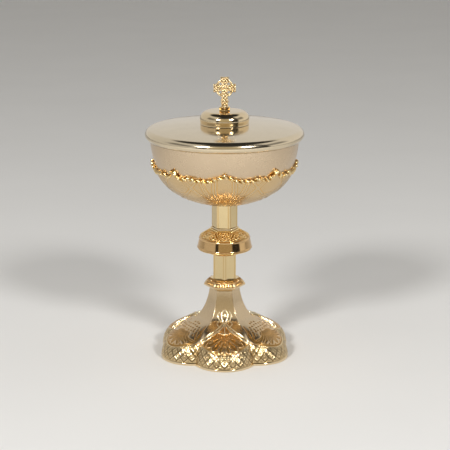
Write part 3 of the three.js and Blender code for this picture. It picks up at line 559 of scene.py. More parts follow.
def round_axis(nodes, item, copies, material):
    """Ends a tree: the item repeated evenly round the axis, made real and coated."""
    points = nodes.add("GeometryNodeMeshLine", {"Count": copies, "Offset": (0, 0, 0)}, {"mode": "OFFSET"})
    turn = nodes.add("GeometryNodeInputIndex") / copies * (2 * math.pi)
    way = nodes.add("ShaderNodeCombineXYZ", {"Z": turn})
    placed = nodes.add("GeometryNodeInstanceOnPoints", {"Points": points, "Instance": item, "Rotation": way})
    real = nodes.add("GeometryNodeRealizeInstances", {"Geometry": placed})
    coated = nodes.add("GeometryNodeSetMaterial", {"Geometry": real, "Material": material})
    nodes.add("NodeGroupOutput", {"Geometry": coated})
    return nodes.tree


def wire_tree(material):
    """Geometry Nodes: thickens the wires of one face and sets them on every second face of the foot."""
    nodes, (lines, faces, sides) = begun("wire_on_each_face", [("Faces", "Int"), ("Wire Sides", "Int")])
    circle = nodes.add("GeometryNodeCurvePrimitiveCircle", {"Resolution": sides, "Radius": 1.0}, {"mode": "RADIUS"})
    thickness = nodes.add("GeometryNodeInputRadius")
    wire = nodes.add("GeometryNodeCurveToMesh",
                     {"Curve": lines, "Profile Curve": circle, "Fill Caps": True, "Scale": thickness})
    smooth = nodes.add("GeometryNodeSetShadeSmooth", {"Geometry": wire})
    return round_axis(nodes, smooth, faces, material)


def baked(source, tree, name, inputs):
    """The plain mesh that a tree makes of an object, with the source taken away."""
    modifier = source.modifiers.new("made", "NODES")
    modifier.node_group = tree
    for item in tree.interface.items_tree:
        if item.in_out == "INPUT" and item.name in inputs:
            modifier[item.identifier] = inputs[item.name]
    bpy.context.view_layer.update()
    mesh = bpy.data.meshes.new_from_object(source.evaluated_get(bpy.context.evaluated_depsgraph_get()))
    bpy.data.objects.remove(source)
    mesh.name = name
    return added(name, mesh)


bright_wire = gold("bright_wire_gold", (0.95, 0.83, 0.58), PLAIN_SHADE, 0.2)
wire_faces = wire_tree(bright_wire)
bars = [(line, BAR_RADIUS) for stops in (ARCH_OUTER, ARCH_INNER) for line in both_sides(stops)]
bars += [(line, FINE_RADIUS) for stops in FINE_BARS for line in both_sides(stops)]
bars += [(UPRIGHT, FINE_RADIUS)]
piece = baked(wires("arch_wires", bars), wire_faces, "arch_tracery_wires", {"Faces": ARCHES, "Wire Sides": 12})
seat(piece, "polished_gold", *[f"arch_tracery_{k}" for k in range(1, ARCHES + 1)])


def foot_ring(middle, place, wide, tall, point):
    """The stops of a small closed ring on the foot, drawn out to a point at its top."""
    turn = np.radians(np.arange(0, 360, 18))
    return list(zip(middle + wide * np.sin(turn), place + tall * np.cos(turn) + point * np.cos(2 * turn)))


foot_rings = [(foot_ring(way * 28.6, .93, way * 1.5, .05, .01), 0.26) for way in (1, -1)]
foot_rings.append((foot_ring(0, 1.165, 1.5, .045, .012), 0.3))
piece = baked(wires("foot_rings", foot_rings, True), wire_faces, "arch_eyelets", {"Faces": ARCHES, "Wire Sides": 8})
seat(piece, "polished_gold")


def beads(name, points, radius, material, copies):
    """Geometry Nodes: a small ball on each point, and the whole set repeated round the axis."""
    mesh = bpy.data.meshes.new(name)
    mesh.from_pydata([tuple(p) for p in np.array(points) * 0.001], [], [])
    holder = added(name, mesh)
    nodes, (spots, size, count) = begun(name, [("Ball Radius", "Float"), ("Copies", "Int")])
    ball = nodes.add("GeometryNodeMeshIcoSphere", {"Radius": size, "Subdivisions": BALL_DETAIL})
    smooth = nodes.add("GeometryNodeSetShadeSmooth", {"Geometry": ball})
    row = nodes.add("GeometryNodeInstanceOnPoints", {"Points": spots, "Instance": smooth})
    tree = round_axis(nodes, row, count, material)
    return baked(holder, tree, name, {"Ball Radius": radius * 0.001, "Copies": copies})


bead_stops = np.array([(3.4, .955), (-3.4, .955), (0, .965)]).T
bead_points = foot_point(*bead_stops) + 0.4 * foot_normal(*bead_stops)
seat(beads("arch_crossing_beads", bead_points, 0.5, bright_wire, ARCHES), "polished_gold")

# Foot fastening: the brass washer and hexagon nut inside the spire, on the long rod
# that pulls foot, collar, stems and knop up against the boss under the bowl.
# The rod and the boss keep their frame shapes and take the same brass.

brass = gold("fastener_brass", (0.62, 0.48, 0.24), (0.40, 0.26, 0.10), 0.34, brushed=0.02, tone=0.12)


def turned(name, section, material, columns=360, capped=False):
    """A round piece turned from a section of radius and height."""
    azimuth = np.linspace(0, 360, columns, endpoint=False)
    return solid(name, [wrap(stacked(azimuth, section), capped)], material)


def nut(name, flats, bore, low, high, material):
    """A hexagon nut, chamfered at both ends, with a round bore."""
    azimuth = np.linspace(0, 360, 240, endpoint=False)
    corner = flats / 2 / FLAT_TO_CORNER
    shape = [(corner - 0.5, low, 1), (corner, low + 0.4, 1), (corner, high - 0.4, 1), (corner - 0.5, high, 1),
             (bore + 0.3, high, 0), (bore, high - 0.3, 0), (bore, low + 0.3, 0), (bore + 0.3, low, 0)]
    rings = [polar(azimuth, hexagon(azimuth, r, ease=0.25) if sided else r, z) for r, z, sided in shape]
    return solid(name, [wrap(np.array(rings))], material)


piece = turned("tie_washer_plate", eased([(BORE, 52.1), (7.5, 52.1), (7.5, 53.6), (BORE, 53.6)]), brass)
seat(piece, "fastener_brass", "tie_washer")
seat(nut("tie_nut_hexagon", 10, BORE, 46.9, 51.9, brass), "fastener_brass", "tie_nut")
for node in ("tie_rod", "cup_boss"):
    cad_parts[node].data.materials.clear()
    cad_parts[node].data.materials.append(brass)

# Lower collar: the six-sided cast moulding between the spire and the lower stem.
# Its sloping faces have a raised lip, a row of small leaves and a scalloped recess
# by the stem, chased after casting.

COLLAR_LIP = 17.2
chased = gold("chased_gold", (0.90, 0.73, 0.46), (0.60, 0.30, 0.06), 0.2, pebble=0.03, pebble_size=0.9)


def sided(name, section, material, first=30, reflection_line=0.0):
    """A six-sided piece with softened corners from a section of corner radius and height. The last argument is
    the strength of a fine dark line painted beside each corner, a painted reflection."""
    azimuth = np.arange(0, 360, 0.5)
    rings = stacked(azimuth, [(hexagon(azimuth, radius, first, 0.35), height) for radius, height in section])
    beside = np.abs(np.sin(np.radians(folded(azimuth, first)))) * section[0][0]
    return solid(name, [wrap(rings)], material, np.tile(reflection_line * hump(beside - 0.95, 0.4), (len(section), 1)))


def collar_point(azimuth, place):
    """A point of the collar's slope, place 0 at its lip to 1 at the stem."""
    azimuth, place = np.broadcast_arrays(azimuth, place)
    height = 57.3 + 5.6 * place + 1.4 * np.sin(np.pi * place) * (1 - place)
    return polar(azimuth, hexagon(azimuth, COLLAR_LIP - 4.7 * place), height)


turns = np.arange(-30, 330, 0.5)
places = np.linspace(0, 1, 45)[:, None]
slope = collar_point(turns, places)
LEAF_MIDDLES = (-17, -8.5, 0, 8.5, 17)
leaves = []
for middle in LEAF_MIDDLES:
    leaves.append([(middle - 3.4, .12), (middle - 3, .3), (middle, .44), (middle + 3, .3), (middle + 3.4, .12)])
scallops = [[(-27, .6), (-23, .66), (-18, .58), (-13, .68), (-6, .72), (0, .55), (6, .72), (13, .68), (18, .58),
             (23, .66), (27, .6)], [(-29, .86), (0, .86), (29, .86)]]
patch = slope[:, :120]
leaf_near = distance(patch, [collar_point(*through(line).T) for line in leaves])
scallop_near = distance(patch, [collar_point(*through(line).T) for line in scallops])
holes = distance(patch, [collar_point(middle, .24) for middle in LEAF_MIDDLES])
relief = 0.3 * np.maximum(hump(leaf_near, 0.32), hump(scallop_near, 0.34)) - 0.35 * hump(holes, 0.42)
relief += 0.34 * hump((places - .03) * 6, 0.35) - 0.12
relief = relief * unit((30 - np.abs(turns[:120])) / 1.2) * unit((1 - places) / 0.03)
ridge_side_shade = np.maximum(hump(leaf_near - 0.45, 0.22), hump(scallop_near - 0.5, 0.22))
# Painted shade: dark lines beside the leaves and scallops, dark holes, and a slope that darkens towards the stem.
painted_shade = np.tile(unit(0.16 + 0.6 * ridge_side_shade + hump(holes, 0.5) + 0.3 * ramp(places, .5, .8)), (1, 6))
relief = np.tile(relief, (1, 6))
slope_out = slope + outward(slope) * relief[..., None]
rest = [(hexagon(turns, 12.3), 62.9), (BORE, 62.9), (BORE, 56.2), (hexagon(turns, 16.4), 56.2),
        (hexagon(turns, 17.0), 56.3), (hexagon(turns, COLLAR_LIP), 56.6)]
rings = np.array([*slope_out, *stacked(turns, rest)])
seat(solid("lower_collar_moulding", [wrap(rings)], chased, painted_shade), "chased_gold", "lower_collar")
bead_points = [collar_point(0, .62) + (0, -0.3, 0.2)]
seat(beads("lower_collar_beads", bead_points, 0.75, chased, 6), "chased_gold")

# Lower stem: a plain six-sided tube with crisp polished edges, mitred and soldered
# from sheet, standing on the collar and carrying the knop.

# The fine dark line beside each corner of the stems is a painted reflection.
CORNER_REFLECTION_LINE = 0.4
stem_gold = gold("stem_gold", (0.77, 0.61, 0.34), PLAIN_SHADE, 0.14, brushed=0.004, tone=0.05)
tube = eased([(10.7, 63.1), (10.7, 84.1), (8.6, 84.1), (8.6, 63.1)], 0.15)
seat(sided("lower_stem_tube", tube, stem_gold, 0, CORNER_REFLECTION_LINE), "polished_gold", "lower_stem")

# Knop base: the shallow round dish under the knop, turned and gilded, with a plain
# foot ring where it sits on the stem.

warm = gold("warm_gold", (0.86, 0.58, 0.24), (0.46, 0.23, 0.05), 0.2, brushed=0.01, lean=-1)
base_section = [(BORE, 84.3), (12.8, 84.3), (13.2, 85.1), (21.9, 88.0), (21.9, 88.6), (20.3, 88.6), (12.8, 86.6),
                (BORE, 85.8)]
seat(turned("knop_base_dish", eased(base_section, 0.3), warm), "chased_gold", "knop_base")

# Knop band: the tall round hoop of the knop, turned with a slight taper and mirror
# polished, with a thin bright bead along its lower and upper edge.

band_section = [(20.9, 88.8), (21.9, 88.8), (22.5, 89.05), (22.72, 89.45), (22.6, 89.85), (22.42, 90.05),
                (22.3, 90.4), (21.75, 93.1), (21.1, 96.3), (21.04, 96.7), (21.15, 96.95), (21.2, 97.3),
                (21.02, 97.75), (20.6, 98.15), (20.2, 98.4), (19.2, 98.4)]
band_gold = gold("knop_band_gold", (0.78, 0.51, 0.24), PLAIN_SHADE, 0.11, brushed=0.004, lean=-1)
seat(turned("knop_band_hoop", eased(band_section, 0.12, 2, 0.12), band_gold, 480), "polished_gold", "knop_band")

# Knop crown: the sloping top of the knop, cast from round below to six-sided above.
# Each side has a pointed petal with a double edge, filled with interlaced knots,
# and a ribbed fan between the petals.

CROWN_FOOT = 20.2
CROWN_TOP = 12.9


def crown_point(azimuth, place):
    """A point of the crown's slope, place 0 at its round lower edge to 1 at its six-sided top."""
    azimuth, place = np.broadcast_arrays(azimuth, place)
    top = hexagon(azimuth, CROWN_TOP, ease=0.5)
    return polar(azimuth, CROWN_FOOT + (top - CROWN_FOOT) * place, 99.1 + 5.2 * place)


turns = np.arange(-30, 330, 0.4)
places = np.linspace(0, 1, 46)[:, None]
slope = crown_point(turns, places)
petal_lines = [
    [(27, .98), (24, .72), (17.5, .42), (9.5, .2), (0, .03)],
    [(18.5, .93), (16.5, .68), (11.5, .44), (5.5, .3), (0, .24)],
    [(3.5, .5), (0, .42)],
    [(9.5, .82), (4.5, .9), (0, .74), (4, .62), (9.5, .66), (9.5, .82)],
    [(29.8, .1), (25, .28), (29.8, .62)],
    [(20.5, .05), (20, .2), (23.5, .3)],
    [(12, .05), (13.5, .13), (16, .2)],
]
patch = slope[:, :150]
petal_near = distance(patch, laid(crown_point, petal_lines, 20))
relief = 0.34 * hump(petal_near, 0.4) - 0.12
relief *= unit(places / 0.03) * unit((1 - places) / 0.04)
# Painted shade: the ground between the petal lines is darkened to orange-brown and a darker line runs beside each
# raised line.
painted_shade = np.tile(unit(0.55 - 0.7 * hump(petal_near, 0.42) + 0.45 * hump(petal_near - 0.95, 0.3)), (1, 6))
slope_out = slope + outward(slope) * np.tile(relief, (1, 6))[..., None]
top_edge = [(CROWN_TOP, 104.5), (12.7, 104.85), (12.3, 104.9)]
rest = [(hexagon(turns, corner, ease=0.5), height) for corner, height in top_edge]
rest += [(BORE, 104.9), (BORE, 103.4), (hexagon(turns, 11, ease=0.5), 103.4), (18.4, 98.6), (19.9, 98.6),
         (20.15, 98.7), (CROWN_FOOT, 98.9)]
rings = np.array([*slope_out, *stacked(turns, rest)])
knot = gold("knot_gold", (0.98, 0.78, 0.42), (0.90, 0.50, 0.12), 0.24)
seat(solid("knop_crown_petals", [wrap(rings)], knot, painted_shade), "chased_gold", "knop_crown")

# Upper stem and its lip: a polished six-sided tube like the lower one, turned a little
# on its axis, standing on a thin six-sided plate with rounded edges.

UPPER_STEM_TURN = 23
plate = eased([(11.5, 105.1), (11.5, 106.4), (BORE, 106.4), (BORE, 105.1)], 0.4)
seat(sided("upper_stem_lip_plate", plate, polished), "polished_gold", "upper_stem_lip")
tube = eased([(10.6, 106.6), (10.6, 126.5), (8.5, 126.5), (8.5, 106.6)], 0.15)
# Its corner lines are painted reflections, as on the lower stem.
seat(sided("upper_stem_tube", tube, stem_gold, UPPER_STEM_TURN, CORNER_REFLECTION_LINE), "polished_gold", "upper_stem")

# Calyx: the thin chased shell that holds the lower half of the bowl. Long ribbed
# petals fan out from four small rosettes near the stem, with fine hatching
# between their double edges.

RIM_HEIGHT = 180.6
CUP_STOPS = np.array([(60.3, 0), (58.25, -31), (45.45, -48), (10, -52.4)])


def cup_point(share, stand=0.0):
    """Radius and height on the bowl's outside, share 0 at the rim to 1 by the stem, moved out by stand."""
    share = np.asarray(share, float)[..., None]
    a, b, c, d = CUP_STOPS
    point = (1 - share) ** 3 * a + 3 * share * (1 - share) ** 2 * b + 3 * share**2 * (1 - share) * c + share**3 * d
    way = (1 - share) ** 2 * (b - a) + 2 * share * (1 - share) * (c - b) + share**2 * (d - c)
    way = way / np.linalg.norm(way, axis=-1, keepdims=True)
    normal = np.stack([-way[..., 1], way[..., 0]], -1)
    return point[..., 0] + stand * normal[..., 0], RIM_HEIGHT + point[..., 1] + stand * normal[..., 1]


def border_height(azimuth):
    """Height of the moulding's middle round the bowl, with its broad and pointed rises."""
    broad = np.abs((azimuth + 45) % 90 - 45)
    narrow = np.abs(azimuth % 90 - 45)
    hook = unit(1 - np.abs(broad - 29) / 8)
    return (156.1 + 5.2 * unit(1 - broad / 16) ** 1.5 + 6.2 * unit(1 - narrow / 6)
            + 1.4 * np.sin(np.pi / 2 * hook) ** 2)


CALYX_STAND = 1.5
share_steps = np.linspace(0, 1, 400)
cup_heights = cup_point(share_steps, CALYX_STAND)[1]


def share_at(height):
    """The share of the bowl's curve at a height."""
    return np.interp(-height, -cup_heights, share_steps)


def calyx_point(azimuth, place, stand=CALYX_STAND):
    """A point of the calyx, place 0 under its border to 1 by the stem."""
    azimuth, place = np.broadcast_arrays(azimuth, place)
    edge = share_at(border_height(azimuth) - 1.1)
    radius, height = cup_point(edge + (0.98 - edge) * place, stand)
    return polar(azimuth, radius, height)


turns = np.arange(-45, 315, 1 / 3)
places = np.linspace(0, 1, 66)[:, None]
shell = calyx_point(turns, places)
ROSETTE = .8
HATCHES = 320
fan_lines = [[(4, .78), (22, .62), (42, .42), (58, .2), (66, .02)],
             [(86, .78), (68, .62), (48, .42), (32, .2), (24, .02)],
             [(4, .84), (24, .72), (45, .56), (66, .72), (86, .84)], [(5, .9), (24, .84), (45, .8)]]
for tip in (7, 18, 33):
    for wide in (0, 2.2):
        fan_lines.append([(2.5 + wide, ROSETTE - .06), (tip * .3 + 3 + wide, .5), (tip * .65 + 3 + wide, .25),
                          (tip + wide, .02)])
patch = shell[:, :270]
fan_near = distance(patch, laid(calyx_point, fan_lines, 40))
petal_turn = np.linspace(0, 2 * np.pi, 60)
petals = 1 + .25 * np.cos(6 * petal_turn)
across, upward = np.sin(petal_turn) * petals, .055 / 6 * np.cos(petal_turn) * petals
rosette_lines = [calyx_point(size * across, ROSETTE + size * upward) for size in (3.0, 6.5)]
rosette_near = distance(patch, rosette_lines)
hatch = np.sin(np.radians(turns[:270]) * HATCHES) * unit(1 - places * 1.1)
relief = 0.24 * hump(fan_near, 0.5) + 0.24 * hump(rosette_near, 0.5) + 0.012 * hatch
line_near = np.minimum(fan_near, rosette_near)
# Painted shade: a dark line beside each raised line of the fan and rosettes, a little on the ground, more towards the
# stem.
painted_shade = 0.14 + 0.4 * hump(line_near - 1.0, 0.4) - 0.3 * hump(line_near, 0.55) + 0.26 * ramp(places, .75, 1)
relief, painted_shade = np.tile(relief, (1, 4)), np.tile(unit(painted_shade), (1, 4))
shell_out = shell + outward(shell[::-1])[::-1] * relief[..., None]
foot_rows = stacked(turns, [(12.6, 127.1), (12.0, 126.7), (7.9, 126.7), (7.9, 127.3)])
shell_in = [calyx_point(turns, place, 0.6) for place in (1, .9, .75, .6, .45, .3, .15, 0)]
calyx_look = gold("calyx_gold", (0.72, 0.56, 0.34), (0.72, 0.44, 0.15), 0.25, pebble=0.012, pebble_size=0.7)
rings = np.array([*shell_out, *foot_rows, *shell_in])
seat(solid("calyx_shell", [wrap(rings)], calyx_look, painted_shade), "calyx_gold", "calyx")

# Calyx border: the cast moulding of small curled leaves that hides the calyx's edge,
# a wavy line with four broad and four pointed rises, soldered to the shell.

turns = np.arange(0, 360, 0.25)
heights = border_height(turns)
radius, middle = cup_point(share_at(heights), CALYX_STAND)
centre = polar(turns, radius, middle)
ahead = np.roll(centre, -1, 0) - np.roll(centre, 1, 0)
ahead /= np.linalg.norm(ahead, axis=1, keepdims=True)
out = polar(turns, 1.0, 0.0)
up = np.cross(out, ahead)
up /= np.linalg.norm(up, axis=1, keepdims=True)
out = np.cross(ahead, up)
around = np.radians(np.arange(0, 360, 20))[:, None]
curl = np.sin(np.radians(turns) * 83 + 1.4 * np.sin(around)) + 0.7 * np.sin(np.radians(turns) * 53 + 2 * around)
size = np.maximum(1.4 + 0.42 * curl + 0.15 * np.sin(np.radians(turns) * 211 - around), 0.5)
rings = centre + size[..., None] * (np.cos(around)[..., None] * out + np.sin(around)[..., None] * up)
# Painted shade in the gaps where the moulding's leaves are thin.
painted_shade = unit(1.1 - (size - 0.8) / 0.7)
border_look = gold("border_gold", (0.90, 0.72, 0.40), (0.62, 0.32, 0.05), 0.16, pebble=0.03, pebble_size=0.9)
seat(solid("calyx_border_leaves", [wrap(rings)], border_look, painted_shade), "chased_gold", "calyx_border")

# Bowl: the deep cup, spun from sheet with a rounded rim and a satin finish of fine
# turned lines outside. The calyx grips its lower half.

satin = gold("satin_bowl_gold", (0.71, 0.56, 0.39), PLAIN_SHADE, 0.28, brushed=0.02, tone=0.03)
BOWL_WALL = 1.4
bowl_shares = np.linspace(0.0, 0.985, 60)
outer = list(zip(*cup_point(bowl_shares)))
inner = list(zip(*cup_point(bowl_shares[::-1], -BOWL_WALL)))
rim = [(59.0, 180.85), (59.35, 181.05), (59.6, 181.1), (59.85, 181.05), (60.2, 180.85)]
bowl_section = [(0.3, 127.25), (6.0, 127.3)] + outer[::-1] + rim[::-1] + inner[::-1] + [(6.0, 129.2), (0.3, 129.1)]
seat(turned("cup_bowl_spun", bowl_section, satin, 360, True), "satin_gold", "cup_bowl")

# Lid shell: a shallow spun dome with a rolled, polished rim that drops to a short
# skirt, and the plain ring soldered inside it that centres the lid in the bowl.

LID_TOP = 192.2
lid_look = gold("lid_gold", (0.79, 0.67, 0.48), PLAIN_SHADE, 0.15, brushed=0.008, lean=-1, tone=0.03)


def dome(radius):
    """Height of the lid's top at a radius."""
    return LID_TOP - 3.6 * (np.asarray(radius) / 59.1) ** 2.4


top = [(radius, dome(radius)) for radius in np.concatenate([[1.7, 2.2, 3.2], np.linspace(5, 58.6, 40)])]
roll = [(59.1 + 5.2 * math.cos(a), 183.5 + 5.1 * math.sin(a)) for a in np.radians(np.linspace(75, -6, 22))]
skirt = [(64.1, 182.5), (63.8, 182.1), (63.2, 181.3), (62.1, 179.9), (61.8, 179.85), (61.1, 179.85), (60.8, 180.0),
         (60.8, 180.4), (60.8, 181.2), (60.5, 181.3), (57.3, 181.3), (57.1, 181.6)]
under = [(radius, dome(radius) - 1.3) for radius in np.linspace(56.9, 2.0, 24)] + [(1.7, dome(1.7) - 1.2)]
seat(turned("lid_shell_dome", top + roll + skirt + under, lid_look, 480), "satin_gold", "lid_shell", body="lid")
ring_section = eased([(56.74, 175.3), (57.34, 175.3), (57.94, 176.0), (57.94, 181.1), (56.74, 181.1)], 0.2)
seat(turned("lid_locating_hoop", ring_section, satin), "satin_gold", "lid_locating_ring", body="lid")

# Lid boss: the raised round button in the middle of the lid, turned with a deep
# rounded shoulder and a slightly undercut foot, and mirror polished.

boss_floor = float(dome(20.0)) + 0.2
button = [(1.7, 202.8), (2.4, 202.8), (6, 202.76), (9, 202.71), (11.5, 202.66)]
button += [(13.5 + 6.5 * math.cos(a), 196.1 + 6.5 * math.sin(a)) for a in np.radians(np.linspace(86, 0, 26))]
button += [(19.95, 195.2), (19.8, 194.2), (19.6, boss_floor + 0.7), (19.6, boss_floor + 0.3), (19.75, boss_floor + 0.1),
           (19.75, boss_floor), (19.4, boss_floor), (2.2, boss_floor), (1.7, boss_floor + 0.4)]
seat(turned("lid_boss_button", button, polished, 480), "polished_gold", "lid_boss", body="lid")

# Finial fastening: the small brass washer and nut under the lid, on the stud that
# holds the cross.

piece = turned("finial_washer_plate", eased([(1.7, 189.9), (4.5, 189.9), (4.5, 190.7), (1.7, 190.7)]), brass)
seat(piece, "fastener_brass", "finial_washer", body="lid")
seat(nut("finial_nut_hexagon", 5.5, 1.6, 187.3, 189.7, brass), "fastener_brass", "finial_nut", body="lid")

# Finial collar: the small six-sided bead under the cross, with hollowed faces between
# crisp corners, cast and polished on its edges; the hollows are rougher and darkened with painted shade.

collar_deep = gold("finial_collar_gold", (0.90, 0.68, 0.34), (0.50, 0.24, 0.05), 0.16, pebble=0.01)
azimuth = np.linspace(0, 360, 480, endpoint=False)
rows = [(3.0, 203.0, 0), (4.7, 203.0, 0), (5.0, 203.15, 0), (5.0, 203.4, 0)]
rows += [(5.0, 203.55 + 1.7 * k / 12, math.sin(math.pi * k / 12)) for k in range(13)]
rows += [(5.0, 205.4, 0), (5.0, 205.65, 0), (4.7, 205.8, 0), (3.0, 205.8, 0)]
middle_of_face = np.cos(np.radians(3 * np.minimum(folded(azimuth, 30), 28))) ** 0.6
rings, shade_marks = [], []
for corner, height, hollow in rows:
    depth = 0.75 * hollow * middle_of_face
    rings.append(polar(azimuth, hexagon(azimuth, corner, 0, 0.25) - depth, height))
    # Painted shade: the deeper the hollow, the darker its colour.
    shade_marks.append(unit(depth / 0.6))
rings += [polar(azimuth, 1.7, 205.8), polar(azimuth, 1.7, 203.0)]
piece = solid("finial_collar_bead", [wrap(np.array(rings))], collar_deep, np.array(shade_marks))
seat(piece, "chased_gold", "finial_collar", body="lid")

# Cross finial: a cast ringed cross with flared arms on a short shaft that ends in a
# moulded neck, worked with a raised edge and interlaced lines on a pebbled ground.
# A stud under it passes through the collar, the boss and the lid.

CROSS_MIDDLE = 220.95
CROSS_FLOOR = 206.0
CROSS_HALF = 1.5
STEP = 0.2
arm = [(-2.3, 0), (-2.3, 4.98), (-3.4, 7.42), (-3.4, 9.05), (3.4, 9.05), (3.4, 7.42), (2.3, 4.98), (2.3, 0)]
down = CROSS_FLOOR - CROSS_MIDDLE
half_shaft = [(2.55, 0), (2.55, -7.5), (3.15, down + 4.8), (3.45, down + 3.8), (2.8, down + 3.2), (2.8, down)]
shaft = half_shaft + [(-x, z) for x, z in half_shaft[::-1]]


def to_outline(points, outline):
    """Distance to a closed outline, less than 0 inside it."""
    outline = np.array(outline, float)
    nearest, inside = np.full(points.shape[:-1], 1e9), np.zeros(points.shape[:-1], bool)
    for a, b in zip(outline, np.roll(outline, -1, 0)):
        side = b - a
        share = unit(((points - a) @ side) / (side @ side))
        nearest = np.minimum(nearest, np.linalg.norm(points - a - share[..., None] * side, axis=-1))
        crosses = (a[1] > points[..., 1]) != (b[1] > points[..., 1])
        rise = side[1] if side[1] else 1e-9
        inside ^= crosses & (points[..., 0] < a[0] + (points[..., 1] - a[1]) / rise * side[0])
    return np.where(inside, -nearest, nearest)


def to_cross(points):
    """Distance to the outline of the ringed cross, and to its four holes."""
    left, right = points[..., ::-1] * (1, -1), points[..., ::-1] * (-1, 1)
    solid_part = np.minimum.reduce([to_outline(points, arm), to_outline(left, arm), to_outline(right, arm),
                                    to_outline(points, shaft), np.linalg.norm(points, axis=-1) - 7.5])
    hole = np.linalg.norm(np.abs(points) - 4.75 / math.sqrt(2), axis=-1) - 0.95
    return np.maximum(solid_part, -hole)


across = np.arange(-9.3, 9.31, STEP)
upward = np.arange(down - STEP / 2, 9.4, STEP)
grid = np.stack(np.meshgrid(across, upward, indexing="ij"), -1)
value = to_cross(grid)
flat_points, numbers, cells = [], {}, []


def corner_number(key, place):
    """The number of a point of the cut grid, made the first time it is asked for."""
    if key not in numbers:
        numbers[key] = len(flat_points)
        flat_points.append(place)
    return numbers[key]


for i in range(len(across) - 1):
    for j in range(len(upward) - 1):
        corners = [(i, j), (i + 1, j), (i + 1, j + 1), (i, j + 1)]
        if min(value[c] for c in corners) >= 0:
            continue
        cell = []
        for a, b in zip(corners, corners[1:] + corners[:1]):
            if value[a] < 0:
                cell.append(corner_number(a, grid[a]))
            if (value[a] < 0) != (value[b] < 0):
                share = value[a] / (value[a] - value[b])
                cell.append(corner_number(tuple(sorted((a, b))), grid[a] + share * (grid[b] - grid[a])))
        if len(cell) > 2:
            cells.append(cell)
flat_points = np.array(flat_points)
x, z = flat_points.T
depth_in = np.maximum(-to_cross(flat_points), 0)
off_middle = np.linalg.norm(flat_points, axis=1)
arm_reach = np.minimum(np.abs(x), np.abs(z))
on_ring = unit((arm_reach - 2.3) / 0.4) * (np.abs(z) < 7.6)
half = CROSS_HALF - 0.42 * on_ring
bevel = 0.5
soft = np.minimum(depth_in, bevel)
height = half - bevel + np.sqrt(np.maximum(bevel**2 - (bevel - soft) ** 2, 0))
knots = np.abs(np.sin(x * 1.25 + z * 1.05) * np.sin(z * 1.25 - x * 1.05))
ground = ramp(depth_in, 0.45, 0.75) * (1 - ramp(knots, 0.12, 0.5)) * (1 - 0.8 * hump(off_middle - 1.6, 0.35))
height -= 0.32 * ground
edges = dict.fromkeys(edge for cell in cells for edge in zip(cell, cell[1:] + cell[:1]))
count = len(flat_points)
front = np.column_stack([x, -height, z + CROSS_MIDDLE])
back = front * (1, -1, 1)
polygons = {}
for cell in cells:
    polygons.setdefault(len(cell), []).append(cell)
    polygons[len(cell)].append([count + number for number in cell[::-1]])
for a, b in edges:
    if (b, a) not in edges:
        polygons.setdefault(4, []).append([b, a, count + a, count + b])
cross_shell = (np.vstack([front, back]), [np.array(group) for group in polygons.values()])
stud_turns = np.linspace(0, 360, 48, endpoint=False)
stud = stacked(stud_turns, [(1.2, 186.3), (1.5, 186.7), (1.5, 205.0), (1.5, 206.6)])
cross_look = gold("cross_gold", (0.90, 0.74, 0.47), (0.48, 0.27, 0.08), 0.22, pebble=0.04, pebble_size=0.7)
# The sunk pebbled ground is darkened with painted shade.
piece = solid("cross_finial_cast", [cross_shell, wrap(stud, True)], cross_look, np.tile(ground, 2))
seat(piece, "chased_gold", "cross_finial", body="lid")

# Floor, studio light and camera: a wide pale floor, two soft lamps, and a bright room
# for the polished faces to mirror, dark in front and overhead, with a tan screen low
# in front and dimmer low sides. The camera stands where the photo was taken from.

LAMP_WIDTH = 0.42
OBJECT_MIDDLE = (0, 0, 0.11)
DEGREES = 180 / math.pi
CEILING_WIDTH = 33
floor_mesh = bpy.data.meshes.new("studio_floor")
floor_mesh.from_pydata([(-9, -9, 0), (9, -9, 0), (9, 9, 0), (-9, 9, 0)], [], [(0, 1, 2, 3)])
floor_paint = bpy.data.materials.new("pale_floor_paint")
paint = cleared(floor_paint)
place = paint.add("ShaderNodeTexCoord", output="Object")
mottle = paint.add("ShaderNodeTexNoise", {"Vector": place, "Scale": 6.0, "Detail": 2.0})
tint = paint.mix(mottle, (0.82, 0.81, 0.79, 1), (0.86, 0.85, 0.83, 1))
matt = paint.add("ShaderNodeBsdfPrincipled", {"Base Color": tint, "Roughness": 0.7, "Specular IOR Level": 0.2})
paint.add("ShaderNodeOutputMaterial", {"Surface": matt})
floor_mesh.materials.append(floor_paint)
floor = added("studio_floor", floor_mesh)
floor.location.z = -0.0002

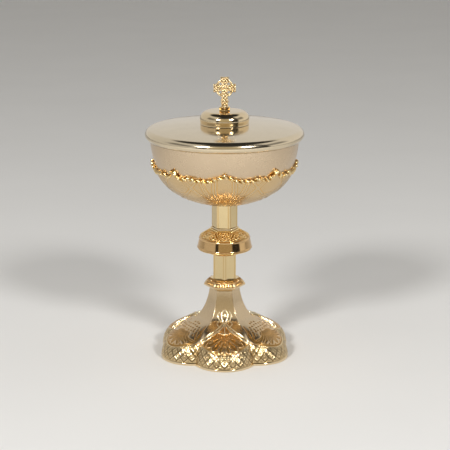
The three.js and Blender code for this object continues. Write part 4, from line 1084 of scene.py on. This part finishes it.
world = bpy.data.worlds.new("studio_room")
bpy.context.scene.world = world
room = cleared(world)
split = room.add("ShaderNodeSeparateXYZ", {"Vector": room.add("ShaderNodeTexCoord", output="Generated")})
x, y, z = (Wire(room, split.socket.node.outputs[k]) for k in range(3))
azimuth = x.math("ARCTAN2", y * -1.0) * DEGREES
elevation = z.math("ARCSINE") * DEGREES
dark_part = azimuth.between(-42, 70, 4) * elevation.between(-8, 82, 8)
low_part = azimuth.between(-100, 112, 12) * elevation.between(14, 44, 8)
from_ceiling = (y * 0.208 + z * 0.978).math("ARCCOSINE") * DEGREES
ceiling = ((CEILING_WIDTH - from_ceiling) / 5 + 0.5).clamped()
dark = dark_part.math("MAXIMUM", ceiling).math("MAXIMUM", low_part * 0.7)
tan_part = azimuth.between(-28, 34, 3) * elevation.between(-8, 52, 12)
shade = room.mix(tan_part, (1.0, 0.985, 0.96, 1), (1.0, 0.88, 0.62, 1))
level = (0.68 + 0.08 * x) * (1 - 0.96 * dark) + 0.42 * tan_part
lit = room.add("ShaderNodeBackground", {"Color": shade, "Strength": level})
seen = room.add("ShaderNodeBackground", {"Color": (0.80, 0.79, 0.77, 1), "Strength": 1.0})
camera_ray = room.add("ShaderNodeLightPath", output="Is Camera Ray")
mixed = room.add("ShaderNodeMixShader", {0: camera_ray, 1: lit, 2: seen})
room.add("ShaderNodeOutputWorld", {"Surface": mixed})

lamps = (("soft_lamp_left", (-1.0, -1.55, 1.35), 26.0), ("soft_lamp_right", (1.05, -1.5, 1.35), 23.0))
for name, spot, power in lamps:
    lamp = bpy.data.lights.new(name, "AREA")
    lamp.shape = "DISK"
    lamp.size = LAMP_WIDTH
    lamp.energy = power
    holder = added(name, lamp)
    holder.location = spot
    holder.rotation_euler = (Vector(OBJECT_MIDDLE) - holder.location).to_track_quat("-Z", "Y").to_euler()

lens = bpy.data.cameras.new("photo_camera")
lens.sensor_width = 36
lens.lens = 115.88
lens.shift_x = 0.0009
camera = added("photo_camera", lens)
camera.location = (0, -1.150, 0.411)
camera.rotation_euler = (math.radians(75.21), 0, 0)
bpy.context.scene.camera = camera
bpy.context.scene.view_settings.view_transform = "Standard"
